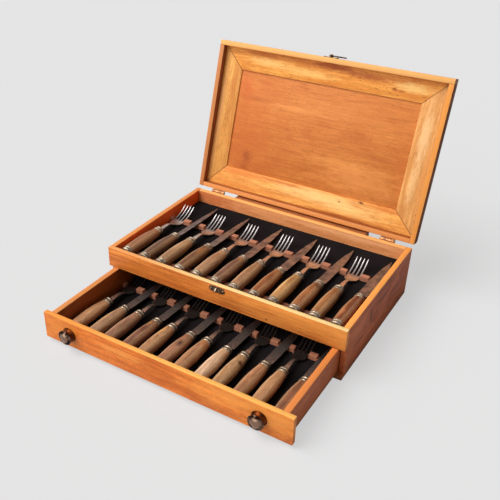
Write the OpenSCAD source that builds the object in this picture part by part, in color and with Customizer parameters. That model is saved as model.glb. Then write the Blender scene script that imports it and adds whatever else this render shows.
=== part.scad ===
// Cutlery box: a wooden case with a hinged lid, a lined tray and a drawer.
// The tray and the drawer each hold six forks and six knives with turned grips.
// Millimetres, +Z up, +X to the right, the drawer opens towards -Y.
// The origin is the middle of the case's underside.
// Rest pose: lid back on its stop, drawer drawn out, hook lying to the side.

/* [Case] */
// Width of the case, the lid and the drawer front
case_w = 400; // [360:1:440]
// Depth of the case from the front board to the back panel
case_d = 254; // [240:1:280]
// Height of the case without the lid
case_h = 83.5; // [80:0.5:92]
// Thickness of the two side panels
side_t = 8.5; // [7:0.5:12]
// Thickness of the front board, sawn into the rail and the drawer front
front_t = 7.5; // [6.5:0.5:12]
// Thickness of the back panel
back_t = 9; // [8:0.5:12]
// Thickness of the bottom panel, its edges show all round
bottom_t = 6; // [4:0.5:8]
// Height of the front rail above the drawer
rail_h = 33; // [30:0.5:36]

/* [Tray] */
// Depth from the rim of the case down to the felt
tray_depth = 21; // [19:0.5:24]
// Thickness of the board under the tray
tray_floor_t = 5; // [3:0.5:7]
// Thickness of the felt in the tray and in the drawer
felt_t = 1; // [0.6:0.2:2]

/* [Lid] */
// Height of the lid from its rim to its outer face
lid_t = 19; // [16:0.5:24]
// Thickness of the lid's rim boards
lid_rim_t = 8; // [6:0.5:10]
// Depth from the lid's rim to the mitred frame
lid_recess = 11.5; // [9:0.5:14]
// Width of the mitred frame inside the rim
lid_frame_w = 35; // [25:1:45]
// Step from the frame's face down to the panel's face
lid_step = 2; // [1:0.5:3]
// Depth and thickness of the panel's tongue in the frame
lid_tongue = 2.5; // [1.5:0.5:3.5]
// Radius of the rounded outer edge at the back
lid_round = 6; // [2:0.5:8]
// Gap between the shut lid and the case
lid_seat = 0.3; // [0.2:0.1:0.6]
// Opening angle at the stop
lid_angle = 106; // [95:1:120]

/* [Hinges] */
// Distance of each hinge's middle from the end of the case
hinge_in = 42; // [30:1:70]
// Width of a hinge, three knuckles
hinge_w = 24; // [18:1:36]
// Distance of the pin behind the case's back face
hinge_set = 3.8; // [3.2:0.1:5]
// Outer radius of the knuckles
knuckle_r = 2.8; // [2.4:0.1:3]
// Radius of the hinge pin
hinge_pin_r = 1.2; // [0.9:0.1:1.6]
// Gap between the pin and the knuckles
pin_fit = 0.1; // [0.05:0.05:0.2]
// Gap between two knuckles along the pin
knuckle_gap = 0.3; // [0.2:0.1:0.6]
// Thickness of the two leaves
leaf_t = 1.2; // [0.8:0.1:1.6]
// Reach of a leaf above or below the pin
leaf_h = 12; // [10:1:18]

/* [Stop batten] */
// Distance of the batten's ends from the ends of the case
batten_in = 78; // [70:1:100]
// Thickness of the batten behind the back panel
batten_t = 19; // [17:0.5:24]
// Height of the batten
batten_h = 20; // [14:1:30]

/* [Drawer] */
// How far the drawer stands out at rest
drawer_out = 148; // [0:1:200]
// Thickness of the drawer's side boards
drawer_side_t = 9; // [7:0.5:10]
// Thickness of the drawer's back board
drawer_back_t = 8; // [6:0.5:10]
// Thickness of the panel nailed under the drawer
drawer_floor_t = 3; // [2:0.5:5]
// Gap between the drawer and each side panel
drawer_side_gap = 1; // [0.5:0.5:2]
// Gap between the drawer and the case's bottom panel
drawer_run_gap = 0.4; // [0.3:0.1:0.8]
// Gap between the drawer front and the rail
drawer_top_gap = 1; // [0.5:0.5:2]
// Gap behind the shut drawer
drawer_end_gap = 3; // [2:0.5:5]

/* [Knobs] */
// Distance of each knob from the end of the drawer front
knob_in = 46.5; // [30:0.5:80]
// Radius of the knob's foot
knob_foot_r = 12; // [10:0.5:14]
// Radius of the knob's face
knob_face_r = 10.5; // [8:0.5:12]
// Reach of the knob in front of the drawer
knob_len = 13.6; // [12:0.1:18]
// Radius of the screw that holds the knob
screw_r = 1.8; // [1.5:0.1:2.2]
// Radius of the screw's head
screw_head_r = 4; // [3:0.5:5]
// Thickness of the screw's head
screw_head_h = 2.2; // [1.5:0.1:3]
// Reach of the screw into the knob
screw_reach = 8; // [6:0.5:9]
// Gap round the screw
screw_fit = 0.15; // [0.1:0.05:0.3]

/* [Latch] */
// Distance of the catch below the case's rim
catch_down = 6.5; // [5.5:0.5:8.5]
// Height of the hook's pivot above the lid's rim
pivot_up = 9.5; // [8:0.5:12]
// Length and height of the two oval plates
plate_w = 26; // [22:1:32]
plate_h = 9; // [8:0.5:10]
// Thickness of the two oval plates
plate_t = 1; // [0.8:0.1:1.4]
// Inner radius of the staple
staple_in = 2.5; // [2.2:0.1:3]
// Wire radius of the staple
staple_wire = 0.9; // [0.7:0.1:1.1]
// Straight length of the staple's legs
staple_leg = 1.4; // [1:0.1:2]
// Height of the collar that holds the hook clear of the nail heads
collar_h = 0.9; // [0.8:0.1:1.1]
// Thickness of the hook
hook_t = 2; // [1.6:0.1:2.4]
// Width of the hook's bar and prong
hook_w = 2.4; // [2:0.1:2.8]
// Reach of the hook's bar from its pivot
hook_len = 23; // [20:0.5:28]
// Turn from the engaged hook to the hook at rest
hook_swing = 66; // [55:1:75]
// Angle by which the prong reaches past the staple
prong_past = 14; // [8:1:18]
// Radius of the hook's pivot
pivot_r = 1.6; // [1.3:0.1:2]
// Gap round the pivot, in front of it and behind the hook
pivot_fit = 0.1; // [0.05:0.05:0.2]

/* [Nails] */
// Radius of a nail's shank
nail_r = 0.6; // [0.5:0.05:0.8]
// Radius of a nail's head
nail_head_r = 1.4; // [1.2:0.1:1.8]
// Reach of a nail into the wood
nail_len = 6; // [4:0.5:6.5]
// Gap round the shank
nail_fit = 0.05; // [0.05:0.05:0.1]

/* [Cutlery] */
// Number of fork and knife pairs in each layer
pairs = 6; // [2:1:6]
// Length of a knife
knife_len = 218; // [205:0.5:220]
// Length of a fork
fork_len = 181; // [176:0.5:190]
// Radius of the metal cap at the butt
cap_r = 8.9; // [8:0.1:10]
// Length of the metal cap
cap_len = 15; // [10:0.5:16]
// Radius of the grip where it lies on its rack
grip_rest_r = 9.2; // [8:0.1:9.4]
// Largest radius of the grip
grip_r = 9.8; // [9:0.1:10.4]
// Radius of the grip at the ferrule
grip_neck_r = 6.4; // [5.5:0.1:7]
// End of the grip, measured from the butt
grip_end = 85; // [78:0.5:90]
// Radius of the ferrule's two rings
ferrule_r = 7.2; // [6.5:0.1:8]
// Length of the ferrule
ferrule_len = 9; // [7:0.5:12]
// Radius of the round tang inside the grip
tang_r = 2.5; // [2:0.1:3]
// Start of the tang, measured from the butt
tang_start = 24; // [20:1:40]
// Glue line between the parts of a handle
glue = 0.05; // [0.05:0.05:0.1]
// Width of a blade
blade_w = 16; // [14:0.5:18]
// Thickness of a blade at its back
blade_t = 1.8; // [1.4:0.1:2.2]
// Width of a fork's head
head_w = 20.6; // [20:0.2:22]
// Thickness of a fork's head
head_t = 1.8; // [1.4:0.1:2.2]
// Thickness of a fork's neck
neck_t = 3.6; // [3:0.1:4.5]
// Start of the tines, measured from the butt
tine_start = 154; // [150:0.5:158]
// Width of one tine at its root
tine_w = 3; // [2.8:0.1:3.4]
// Depth of the fork's heel below the grip's axis
fork_dip = 6.3; // [5.5:0.1:6.5]
// Height of the tine tips above the grip's axis
fork_rise = 9.5; // [8:0.1:10.5]

/* [Layout of the cutlery] */
// Gap from the front board to the butts
butt_gap = 4; // [3:0.5:8]
// Height of the grips' axis at the butt above the felt
butt_rise = 12.5; // [12.3:0.1:13]
// Slope of a knife towards its tip
knife_tilt = 2.9; // [2.8:0.05:3]
// Slope of a fork towards its tines
fork_tilt = 1.6; // [1.4:0.05:1.7]
// Distance from a layer's left wall to its first fork's axis
fork_in = 15.5; // [14:0.5:17]
// Distance from a layer's right wall to its last knife's axis
knife_in = 14; // [13:0.5:16]
// Place of a knife between its fork and the next one in the tray, as a share
tray_share = 0.52; // [0.5:0.002:0.54]
// Place of a knife between its fork and the next one in the drawer, as a share
drawer_share = 0.54; // [0.5:0.002:0.55]

/* [Racks] */
// Distance of the blade rack behind the butts
blade_rack_at = 143.5; // [141:0.5:145]
// Depth, front to back, of both racks
rack_d = 8; // [6:0.5:10]
// Height of the blade rack
blade_rack_h = 7.5; // [7:0.5:10]
// Width of a fork's slot
fork_slot_w = 23; // [22.5:0.5:26]
// Height of a fork's slot above the felt
fork_slot_z = 1.5; // [1:0.1:1.7]
// Width of a knife's slot
knife_slot_w = 18; // [17:0.5:20]
// Height of a knife's slot above the felt
knife_slot_z = 3.9; // [3:0.1:4]
// Distance of the grip rack behind the butts
grip_rack_at = 16; // [15.5:0.5:18]
// Height of the grip rack
grip_rack_h = 5.5; // [4:0.5:7]
// Gap between a grip and its hollow in the rack
rest_gap = 0.3; // [0.2:0.1:0.5]

/* [Hidden] */
$fn = 64;
half_w = case_w / 2;
front_y = -case_d / 2;
back_y = case_d / 2;
in_w = case_w - 2 * side_t;
in_front = front_y + front_t;
in_back = back_y - back_t;
rail_z = case_h - rail_h;
tray_z = case_h - tray_depth;
tray_floor_z = tray_z - felt_t - tray_floor_t;
lid_z = case_h + lid_seat;
axis_y = back_y + hinge_set;
axis_z = case_h + lid_seat / 2;
knuckle_w = (hinge_w - 2 * knuckle_gap) / 3;
frame_x = half_w - lid_rim_t;
frame_y = case_d / 2 - lid_rim_t;
frame_t = lid_t - lid_recess;
panel_t = frame_t - lid_step;
drawer_z = bottom_t + drawer_run_gap;
drawer_top = rail_z - drawer_top_gap;
drawer_w = in_w - 2 * drawer_side_gap;
drawer_in_w = drawer_w - 2 * drawer_side_t;
drawer_back_y = in_back - drawer_end_gap;
drawer_felt_z = drawer_z + drawer_floor_t + felt_t;
knob_z = (drawer_z + drawer_top) / 2;
hinge_x = half_w - hinge_in;
batten_w = case_w - 2 * batten_in;
knob_x = half_w - knob_in;
pivot_z = lid_z + pivot_up;
catch_z = case_h - catch_down;
prong_r = pivot_z - catch_z;
hook_y = front_y - plate_t - collar_h - pivot_fit;
tray_first = fork_in - in_w / 2;
tray_pitch = (in_w - fork_in - knife_in) / (pairs - 1 + tray_share);
tray_step = tray_pitch * tray_share;
drawer_first = fork_in - drawer_in_w / 2;
drawer_pitch = (drawer_in_w - fork_in - knife_in) / (pairs - 1 + drawer_share);
drawer_step = drawer_pitch * drawer_share;
butt_y = in_front + butt_gap;
ferrule_end = grip_end + ferrule_len;
bend_start = ferrule_end + 14;
tine_pitch = (head_w - tine_w) / 3;
// The fork's side curve is a parabola with its lowest point at the heel.
curve_a = -2 * (fork_dip + sqrt(fork_dip * fork_dip + fork_dip * fork_rise));
curve_b = fork_rise - curve_a;

function fork_curve(u) = u < 0 ? 0 : curve_a * u + curve_b * u * u;
function fork_thick(u) = u < 0.3 ? neck_t + (head_t - neck_t) * max(u, 0) / 0.3 : head_t;
function along(u) = bend_start + (fork_len - bend_start) * u;
function tray_fork_x(i) = tray_first + i * tray_pitch;
function tray_knife_x(i) = tray_fork_x(i) + tray_step;
function drawer_fork_x(i) = drawer_first + i * drawer_pitch;
function drawer_knife_x(i) = drawer_fork_x(i) + drawer_step;

wood = "#c8803f";
pale_wood = "#e0a060";
felt = "#18181a";
brass = "#6a5436";
steel = "#b9b6b0";
silver = "#cfc9bd";
grip_wood = "#7d5a35";

// A board given by two opposite corners.
module board(from, to) {
    translate(from)
        cube(to - from);
}

// Both hinges, or both knobs, from one drawn at the middle.
module pair_at(x) {
    translate([-x, 0, 0])
        children();
    translate([x, 0, 0])
        children();
}

// The lid's parts are drawn shut and swung open about the hinge axis.
module open_lid() {
    translate([0, axis_y, axis_z])
        rotate([-lid_angle, 0, 0])
            translate([0, -axis_y, -axis_z])
                children();
}

// The drawer's parts are drawn shut and moved out.
module drawn_out() {
    translate([0, -drawer_out, 0])
        children();
}

// A shank hole or a nail along Y, starting on a face and running into the wood.
module nail_hole(x, y, z, into) {
    translate([x, y, z])
        rotate([-90 * into, 0, 0])
            translate([0, 0, -plate_t - leaf_t])
                cylinder(r = nail_r + nail_fit, h = nail_len + plate_t + leaf_t + nail_fit);
}

module nail(x, y, z, into, plate) {
    translate([x, y, z])
        rotate([-90 * into, 0, 0]) {
            translate([0, 0, -plate])
                cylinder(r = nail_r, h = nail_len + plate);
            translate([0, 0, -plate - 0.7])
                cylinder(r1 = nail_head_r * 0.7, r2 = nail_head_r, h = 0.7);
        }
}

module case_nail_places() {
    for (x = [-hinge_x - 7, -hinge_x + 7, hinge_x - 7, hinge_x + 7])
        translate([x, 0, 0])
            children(0);
    for (x = [-1, 1])
        translate([x * (plate_w / 2 - 3), 0, 0])
            children(1);
}

// CASE

module case_bottom() {
    color(wood)
        board([-half_w, front_y, 0], [half_w, back_y, bottom_t]);
}

module case_side() {
    board([half_w - side_t, in_front, bottom_t], [half_w, back_y, case_h]);
}

module case_left_side() {
    color(wood)
        mirror([1, 0, 0])
            case_side();
}

module case_right_side() {
    color(wood)
        case_side();
}

module case_back() {
    color(wood)
        difference() {
            board([-in_w / 2, in_back, bottom_t], [in_w / 2, back_y, case_h]);
            case_nail_places() {
                nail_hole(0, back_y, axis_z - leaf_h + 3.5, -1);
                nail_hole(0, front_y, catch_z, 1);
            }
        }
}

module front_rail() {
    color(wood)
        difference() {
            board([-half_w, front_y, rail_z], [half_w, in_front, case_h]);
            case_nail_places() {
                nail_hole(0, back_y, axis_z - leaf_h + 3.5, -1);
                nail_hole(0, front_y, catch_z, 1);
            }
        }
}

module tray_floor() {
    color(wood)
        board([-in_w / 2, in_front, tray_floor_z], [in_w / 2, in_back, tray_z - felt_t]);
}

module tray_felt() {
    color(felt)
        board([-in_w / 2, in_front, tray_z - felt_t], [in_w / 2, in_back, tray_z]);
}

// The lid leans on this batten, so its top edge is planed to the open lid's slope.
module stop_batten() {
    color(wood)
        difference() {
            board([-batten_w / 2, back_y, case_h - batten_h],
                [batten_w / 2, back_y + batten_t, case_h]);
            open_lid()
                board([-half_w, back_y - lid_t, lid_z], [half_w, back_y + lid_seat, lid_z + 2 * lid_t]);
        }
}

// CATCH AND LATCH

module oval_plate() {
    rotate([90, 0, 0])
        linear_extrude(plate_t)
            difference() {
                union() {
                    square([plate_w - plate_h, plate_h], center = true);
                    for (x = [-1, 1])
                        translate([x * (plate_w - plate_h) / 2, 0])
                            circle(plate_h / 2);
                }
                for (x = [-1, 1])
                    translate([x * (plate_w / 2 - 3), 0])
                        circle(nail_r + nail_fit);
            }
}

// A half ring of wire on two straight legs, standing out of the plate.
module staple() {
    ring_r = staple_in + staple_wire;
    translate([0, -staple_leg, 0])
        rotate([0, 90, 0])
            rotate([0, 0, 180])
                rotate_extrude(angle = 180)
                    translate([ring_r, 0])
                        circle(staple_wire, $fn = 24);
    for (z = [-1, 1])
        translate([0, 0, z * ring_r])
            rotate([90, 0, 0])
                cylinder(r = staple_wire, h = staple_leg, $fn = 24);
}

module catch_plate() {
    color(brass)
        translate([0, front_y, catch_z]) {
            oval_plate();
            translate([0, -plate_t, 0])
                staple();
        }
}

module latch_plate() {
    color(brass)
        open_lid()
            translate([0, front_y, pivot_z]) {
                oval_plate();
                rotate([90, 0, 0]) {
                    cylinder(r = pivot_r, h = front_y - hook_y + hook_t + pivot_fit + 0.2);
                    cylinder(r = pivot_r + 1.6, h = plate_t + collar_h);
                    translate([0, 0, front_y - hook_y + hook_t + pivot_fit])
                        cylinder(r1 = pivot_r * 1.7, r2 = pivot_r, h = 1.2);
                }
            }
}

// The prong is an arc about the pivot, so it slides through the staple as the hook swings.
module hook_outline() {
    bar = prong_past + 10;
    far = 2 * prong_r;
    difference() {
        union() {
            circle(pivot_r + hook_w);
            rotate(bar) {
                translate([0, -hook_w / 2])
                    square([hook_len, hook_w]);
                translate([hook_len, 0])
                    circle(hook_w);
            }
            intersection() {
                difference() {
                    circle(prong_r + hook_w / 2);
                    circle(prong_r - hook_w / 2);
                }
                polygon([[0, 0], [far * cos(prong_past), -far * sin(prong_past)],
                    [far * cos(bar), far * sin(bar)]]);
            }
        }
        circle(pivot_r + pivot_fit);
    }
}

module latch_hook() {
    color(brass)
        open_lid()
            translate([0, hook_y, pivot_z])
                rotate([90, 0, 0])
                    rotate([0, 0, hook_swing - 90])
                        linear_extrude(hook_t)
                            hook_outline();
}

// HINGES

// One leaf with its curled root, drawn for the case; the lid's leaf is its mirror image.
module leaf(knuckles) {
    difference() {
        union() {
            translate([-hinge_w / 2, -hinge_set, -leaf_h])
                cube([hinge_w, leaf_t, leaf_h - 1.6]);
            for (k = knuckles)
                translate([-hinge_w / 2 + k * (knuckle_w + knuckle_gap), 0, 0])
                    rotate([90, 0, 90])
                        linear_extrude(knuckle_w)
                            union() {
                                circle(knuckle_r);
                                polygon([[-hinge_set, -4.5], [-hinge_set, -0.5], [-2, -0.5],
                                    [-0.8, -2.5], [leaf_t - hinge_set, -4.5]]);
                            }
        }
        translate([-hinge_w, 0, 0])
            rotate([0, 90, 0])
                cylinder(r = hinge_pin_r + pin_fit, h = 2 * hinge_w);
        for (x = [-7, 7])
            translate([x, 0, 3.5 - leaf_h])
                rotate([90, 0, 0])
                    cylinder(r = nail_r + nail_fit, h = 3 * hinge_set, center = true);
    }
}

module case_hinges() {
    color(brass)
        pair_at(hinge_x)
            translate([0, axis_y, axis_z]) {
                leaf([0, 2]);
                translate([-hinge_w / 2 - pin_fit, 0, 0])
                    rotate([0, 90, 0])
                        cylinder(r = hinge_pin_r, h = hinge_w + pin_fit);
                translate([-hinge_w / 2 - pin_fit - 0.8, 0, 0])
                    rotate([0, 90, 0])
                        cylinder(r = hinge_pin_r + 0.6, h = 0.8);
            }
}

module lid_hinges() {
    color(brass)
        open_lid()
            pair_at(hinge_x)
                translate([0, axis_y, axis_z])
                    mirror([0, 0, 1])
                        leaf([1]);
}

module case_nails() {
    color(brass)
        case_nail_places() {
            nail(0, back_y, axis_z - leaf_h + 3.5, -1, leaf_t);
            nail(0, front_y, catch_z, 1, plate_t);
        }
}

module lid_nails() {
    color(brass)
        open_lid()
            case_nail_places() {
                nail(0, back_y, axis_z + leaf_h - 3.5, -1, leaf_t);
                nail(0, front_y, pivot_z, 1, plate_t);
            }
}

// LID

// Everything outside the rounded edge along the top of the lid's back.
module back_edge_waste() {
    translate([0, back_y - lid_round, lid_z + lid_t - lid_round])
        difference() {
            board([-case_w, 0, 0], [case_w, 2 * lid_round, 2 * lid_round]);
            rotate([0, 90, 0])
                cylinder(r = lid_round, h = 2 * case_w, center = true);
        }
}

module rim_board(from, to) {
    color(pale_wood)
        open_lid()
            difference() {
                board([from[0], from[1], lid_z], [to[0], to[1], lid_z + lid_t]);
                back_edge_waste();
                case_nail_places() {
                    nail_hole(0, back_y, axis_z + leaf_h - 3.5, -1);
                    nail_hole(0, front_y, pivot_z, 1);
                }
            }
}

module lid_front_rim() {
    rim_board([-half_w, front_y], [half_w, front_y + lid_rim_t]);
}

module lid_back_rim() {
    rim_board([-frame_x, frame_y], [frame_x, back_y]);
}

module lid_left_rim() {
    rim_board([-half_w, front_y + lid_rim_t], [-frame_x, back_y]);
}

module lid_right_rim() {
    rim_board([frame_x, front_y + lid_rim_t], [half_w, back_y]);
}

// A mitred board along a side of the frame, grooved for the panel's tongue.
module frame_board(length) {
    difference() {
        linear_extrude(frame_t)
            polygon([[-length / 2, 0], [length / 2, 0],
                [length / 2 - lid_frame_w, lid_frame_w], [lid_frame_w - length / 2, lid_frame_w]]);
        board([-length, lid_frame_w - lid_tongue, frame_t - 1.5 - lid_tongue],
            [length, 2 * lid_frame_w, frame_t - 1.5]);
    }
}

// Places a frame board against the rim: 0 front, 1 right, 2 back, 3 left.
module frame_side(turn, length, out) {
    color(pale_wood)
        open_lid()
            translate([0, 0, lid_z + lid_recess])
                rotate([0, 0, turn * 90])
                    translate([0, -out, 0])
                        frame_board(length);
}

module lid_frame_front() {
    frame_side(0, 2 * frame_x, frame_y);
}

module lid_frame_right() {
    frame_side(1, 2 * frame_y, frame_x);
}

module lid_frame_back() {
    frame_side(2, 2 * frame_x, frame_y);
}

module lid_frame_left() {
    frame_side(3, 2 * frame_y, frame_x);
}

module lid_panel() {
    px = frame_x - lid_frame_w;
    py = frame_y - lid_frame_w;
    top = lid_z + lid_t;
    color(wood)
        open_lid() {
            board([-px, -py, top - panel_t], [px, py, top]);
            board([-px - lid_tongue, -py - lid_tongue, top - 1.5 - lid_tongue],
                [px + lid_tongue, py + lid_tongue, top - 1.5]);
        }
}

// DRAWER

module drawer_front() {
    color(wood)
        drawn_out()
            difference() {
                board([-half_w, front_y, drawer_z], [half_w, in_front, drawer_top]);
                pair_at(knob_x)
                    translate([0, front_y - 1, knob_z])
                        rotate([-90, 0, 0])
                            cylinder(r = screw_r + screw_fit, h = front_t + 2);
            }
}

module drawer_side() {
    board([drawer_in_w / 2, in_front, drawer_z + drawer_floor_t],
        [drawer_w / 2, drawer_back_y, drawer_top]);
}

module drawer_left_side() {
    color(wood)
        drawn_out()
            mirror([1, 0, 0])
                drawer_side();
}

module drawer_right_side() {
    color(wood)
        drawn_out()
            drawer_side();
}

module drawer_back() {
    color(wood)
        drawn_out()
            board([-drawer_in_w / 2, drawer_back_y - drawer_back_t, drawer_z + drawer_floor_t],
                [drawer_in_w / 2, drawer_back_y, drawer_top]);
}

module drawer_bottom() {
    color(wood)
        drawn_out()
            board([-drawer_w / 2, in_front, drawer_z],
                [drawer_w / 2, drawer_back_y, drawer_z + drawer_floor_t]);
}

module drawer_felt() {
    color(felt)
        drawn_out()
            board([-drawer_in_w / 2, in_front, drawer_felt_z - felt_t],
                [drawer_in_w / 2, drawer_back_y - drawer_back_t, drawer_felt_z]);
}

module knob() {
    difference() {
        rotate([90, 0, 0])
            rotate_extrude()
                polygon([[0, 0], [knob_foot_r, 0], [knob_foot_r, 1], [knob_foot_r - 1.5, 1.8],
                    [6.5, 2.8], [4.8, 5], [5.2, 7], [knob_face_r - 1, 8.6],
                    [knob_face_r, 10.2], [knob_face_r - 0.4, 11.6], [knob_face_r - 2.5, knob_len - 0.7],
                    [4, knob_len - 0.1], [0, knob_len]]);
        rotate([90, 0, 0])
            translate([0, 0, -1])
                cylinder(r = screw_r + screw_fit, h = screw_reach + 1.5);
    }
}

module drawer_knobs() {
    color(brass)
        drawn_out()
            pair_at(knob_x)
                translate([0, front_y, knob_z])
                    knob();
}

module knob_screws() {
    color(steel)
        drawn_out()
            pair_at(knob_x)
                translate([0, in_front, knob_z])
                    rotate([90, 0, 0]) {
                        cylinder(r = screw_r, h = front_t + screw_reach);
                        translate([0, 0, -screw_head_h])
                            cylinder(r1 = screw_head_r * 0.75, r2 = screw_head_r, h = screw_head_h);
                    }
}

// RACKS

// A comb with a wide slot for each fork's head and a narrower one for each blade.
module blade_rack(width, z, first, pitch, step) {
    difference() {
        board([-width / 2, butt_y + blade_rack_at, z],
            [width / 2, butt_y + blade_rack_at + rack_d, z + blade_rack_h]);
        for (i = [0:pairs - 1]) {
            translate([first + i * pitch - fork_slot_w / 2, butt_y, z + fork_slot_z])
                cube([fork_slot_w, case_d, blade_rack_h]);
            translate([first + i * pitch + step - knife_slot_w / 2, butt_y, z + knife_slot_z])
                cube([knife_slot_w, case_d, blade_rack_h]);
        }
    }
}

// A low bar hollowed under every grip.
module grip_rack(width, z, first, pitch, step) {
    middle = grip_rack_at + rack_d / 2;
    difference() {
        board([-width / 2, butt_y + grip_rack_at, z],
            [width / 2, butt_y + grip_rack_at + rack_d, z + grip_rack_h]);
        for (i = [0:pairs - 1]) {
            translate([first + i * pitch, butt_y, z + butt_rise - middle * sin(fork_tilt)])
                rotate([-90, 0, 0])
                    cylinder(r = grip_rest_r + rest_gap, h = 2 * middle);
            translate([first + i * pitch + step, butt_y, z + butt_rise - middle * sin(knife_tilt)])
                rotate([-90, 0, 0])
                    cylinder(r = grip_rest_r + rest_gap, h = 2 * middle);
        }
    }
}

module tray_blade_rack() {
    color(wood)
        blade_rack(in_w, tray_z, tray_first, tray_pitch, tray_step);
}

module tray_grip_rack() {
    color(wood)
        grip_rack(in_w, tray_z, tray_first, tray_pitch, tray_step);
}

module drawer_blade_rack() {
    color(wood)
        drawn_out()
            blade_rack(drawer_in_w, drawer_felt_z, drawer_first, drawer_pitch, drawer_step);
}

module drawer_grip_rack() {
    color(wood)
        drawn_out()
            grip_rack(drawer_in_w, drawer_felt_z, drawer_first, drawer_pitch, drawer_step);
}

// CUTLERY, drawn along +Y from the butt

// The turned parts that a fork and a knife share: cap, grip, ferrule and the steel's tang.
module handle() {
    color(silver)
        rotate([-90, 0, 0])
            rotate_extrude()
                polygon([[0, 0], [cap_r - 3, 0], [cap_r - 1, 0.8], [cap_r - 0.2, 2.6], [cap_r - 0.5, 4],
                    [cap_r - 1.2, 5], [cap_r - 0.6, 6], [cap_r, cap_len - 4],
                    [cap_r + 0.3, cap_len - 3], [cap_r + 0.3, cap_len - 1], [cap_r, cap_len], [0, cap_len]]);
    color(grip_wood)
        rotate([-90, 0, 0])
            difference() {
                rotate_extrude()
                    polygon([[0, cap_len + glue], [grip_rest_r, cap_len + glue],
                        [grip_rest_r, grip_rack_at + rack_d],
                        [grip_r - 0.2, 32], [grip_r, 40], [grip_r - 0.4, 50],
                        [(grip_r + grip_neck_r) / 2 + 0.4, 64], [grip_neck_r + 0.6, 76],
                        [grip_neck_r, grip_end - glue], [0, grip_end - glue]]);
                translate([0, 0, tang_start - 1])
                    cylinder(r = tang_r + glue, h = grip_end);
            }
    color(silver)
        translate([0, grip_end, 0])
            rotate([-90, 0, 0])
                rotate_extrude()
                    polygon([[tang_r + glue, 0], [ferrule_r - 0.5, 0], [ferrule_r, 0.8], [ferrule_r, 2.4],
                        [ferrule_r - 1, 3.2], [ferrule_r - 1, 4.2], [ferrule_r - 0.2, 5],
                        [ferrule_r - 0.2, 6.6], [ferrule_r - 1.2, 7.6],
                        [ferrule_r - 2, ferrule_len - glue], [tang_r + glue, ferrule_len - glue]]);
    color(steel)
        translate([0, tang_start, 0])
            rotate([-90, 0, 0])
                cylinder(r = tang_r, h = ferrule_end - tang_start);
}

// A straight back on the left, a belly on the right, ground thin towards the edge.
module knife() {
    handle();
    start = ferrule_end;
    long = knife_len - ferrule_end;
    left = -blade_w / 2 + 0.8;
    right = blade_w / 2;
    color(steel)
        intersection() {
            translate([0, 0, -blade_t])
                linear_extrude(2 * blade_t)
                    polygon([[left + 1.5, start], [left, start + 3], [left + 0.6, start + long * 0.4],
                        [left + 3.4, start + long * 0.75], [right - 6.5, start + long],
                        [right - 4.6, start + long * 0.92], [right - 1.6, start + long * 0.75],
                        [right, start + long * 0.5], [right, start + long * 0.2],
                        [right - 0.8, start + 3], [right - 3, start]]);
            translate([0, start + long, 0])
                rotate([90, 0, 0])
                    linear_extrude(long)
                        polygon([[-blade_w, -blade_t / 2], [left + 3, -blade_t / 2], [right + 1, -0.2],
                            [right + 1, 0.2], [left + 3, blade_t / 2], [-blade_w, blade_t / 2]]);
        }
}

module fork_outline() {
    h = head_w / 2;
    difference() {
        polygon([[-3.4, ferrule_end], [3.4, ferrule_end], [2.8, 106], [2.8, 117], [3.9, 123],
            [h - 4.2, 128], [h - 1.4, 133], [h - 0.2, 138], [h, 144], [h, tine_start],
            [-h, tine_start], [-h, 144], [0.2 - h, 138], [1.4 - h, 133], [4.2 - h, 128],
            [-3.9, 123], [-2.8, 117], [-2.8, 106]]);
        for (i = [-1:1])
            translate([i * tine_pitch, tine_start])
                circle((tine_pitch - tine_w) / 2);
    }
    for (i = [-1.5:1:1.5])
        polygon([[i * tine_pitch - tine_w / 2, tine_start - 0.1],
            [i * tine_pitch + tine_w / 2, tine_start - 0.1],
            [i * tine_pitch * 0.98 + tine_w * 0.36, fork_len - 5],
            [i * tine_pitch * 0.97 + 0.35, fork_len],
            [i * tine_pitch * 0.97 - 0.35, fork_len],
            [i * tine_pitch * 0.98 - tine_w * 0.36, fork_len - 5]]);
}

// The outline seen from above meets the curved strip seen from the side.
module fork() {
    steps = 14;
    upper = [for (i = [0:steps]) [along(i / steps),
        fork_curve(i / steps) + fork_thick(i / steps) / 2]];
    lower = [for (i = [steps:-1:0]) [along(i / steps),
        fork_curve(i / steps) - fork_thick(i / steps) / 2]];
    handle();
    color(steel)
        intersection() {
            translate([0, 0, -2 * fork_dip])
                linear_extrude(4 * fork_dip)
                    fork_outline();
            translate([-head_w, 0, 0])
                rotate([90, 0, 90])
                    linear_extrude(2 * head_w)
                        polygon(concat([[ferrule_end, -neck_t / 2], [ferrule_end, neck_t / 2]],
                            upper, lower));
        }
}

// Lays a piece on the racks over a felt at height z.
module laid(x, z, tilt) {
    translate([x, butt_y, z + butt_rise])
        rotate([-tilt, 0, 0])
            children();
}

module tray_fork(i) {
    laid(tray_fork_x(i), tray_z, fork_tilt)
        fork();
}

module tray_knife(i) {
    laid(tray_knife_x(i), tray_z, knife_tilt)
        knife();
}

module drawer_fork(i) {
    drawn_out()
        laid(drawer_fork_x(i), drawer_felt_z, fork_tilt)
            fork();
}

module drawer_knife(i) {
    drawn_out()
        laid(drawer_knife_x(i), drawer_felt_z, knife_tilt)
            knife();
}

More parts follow.
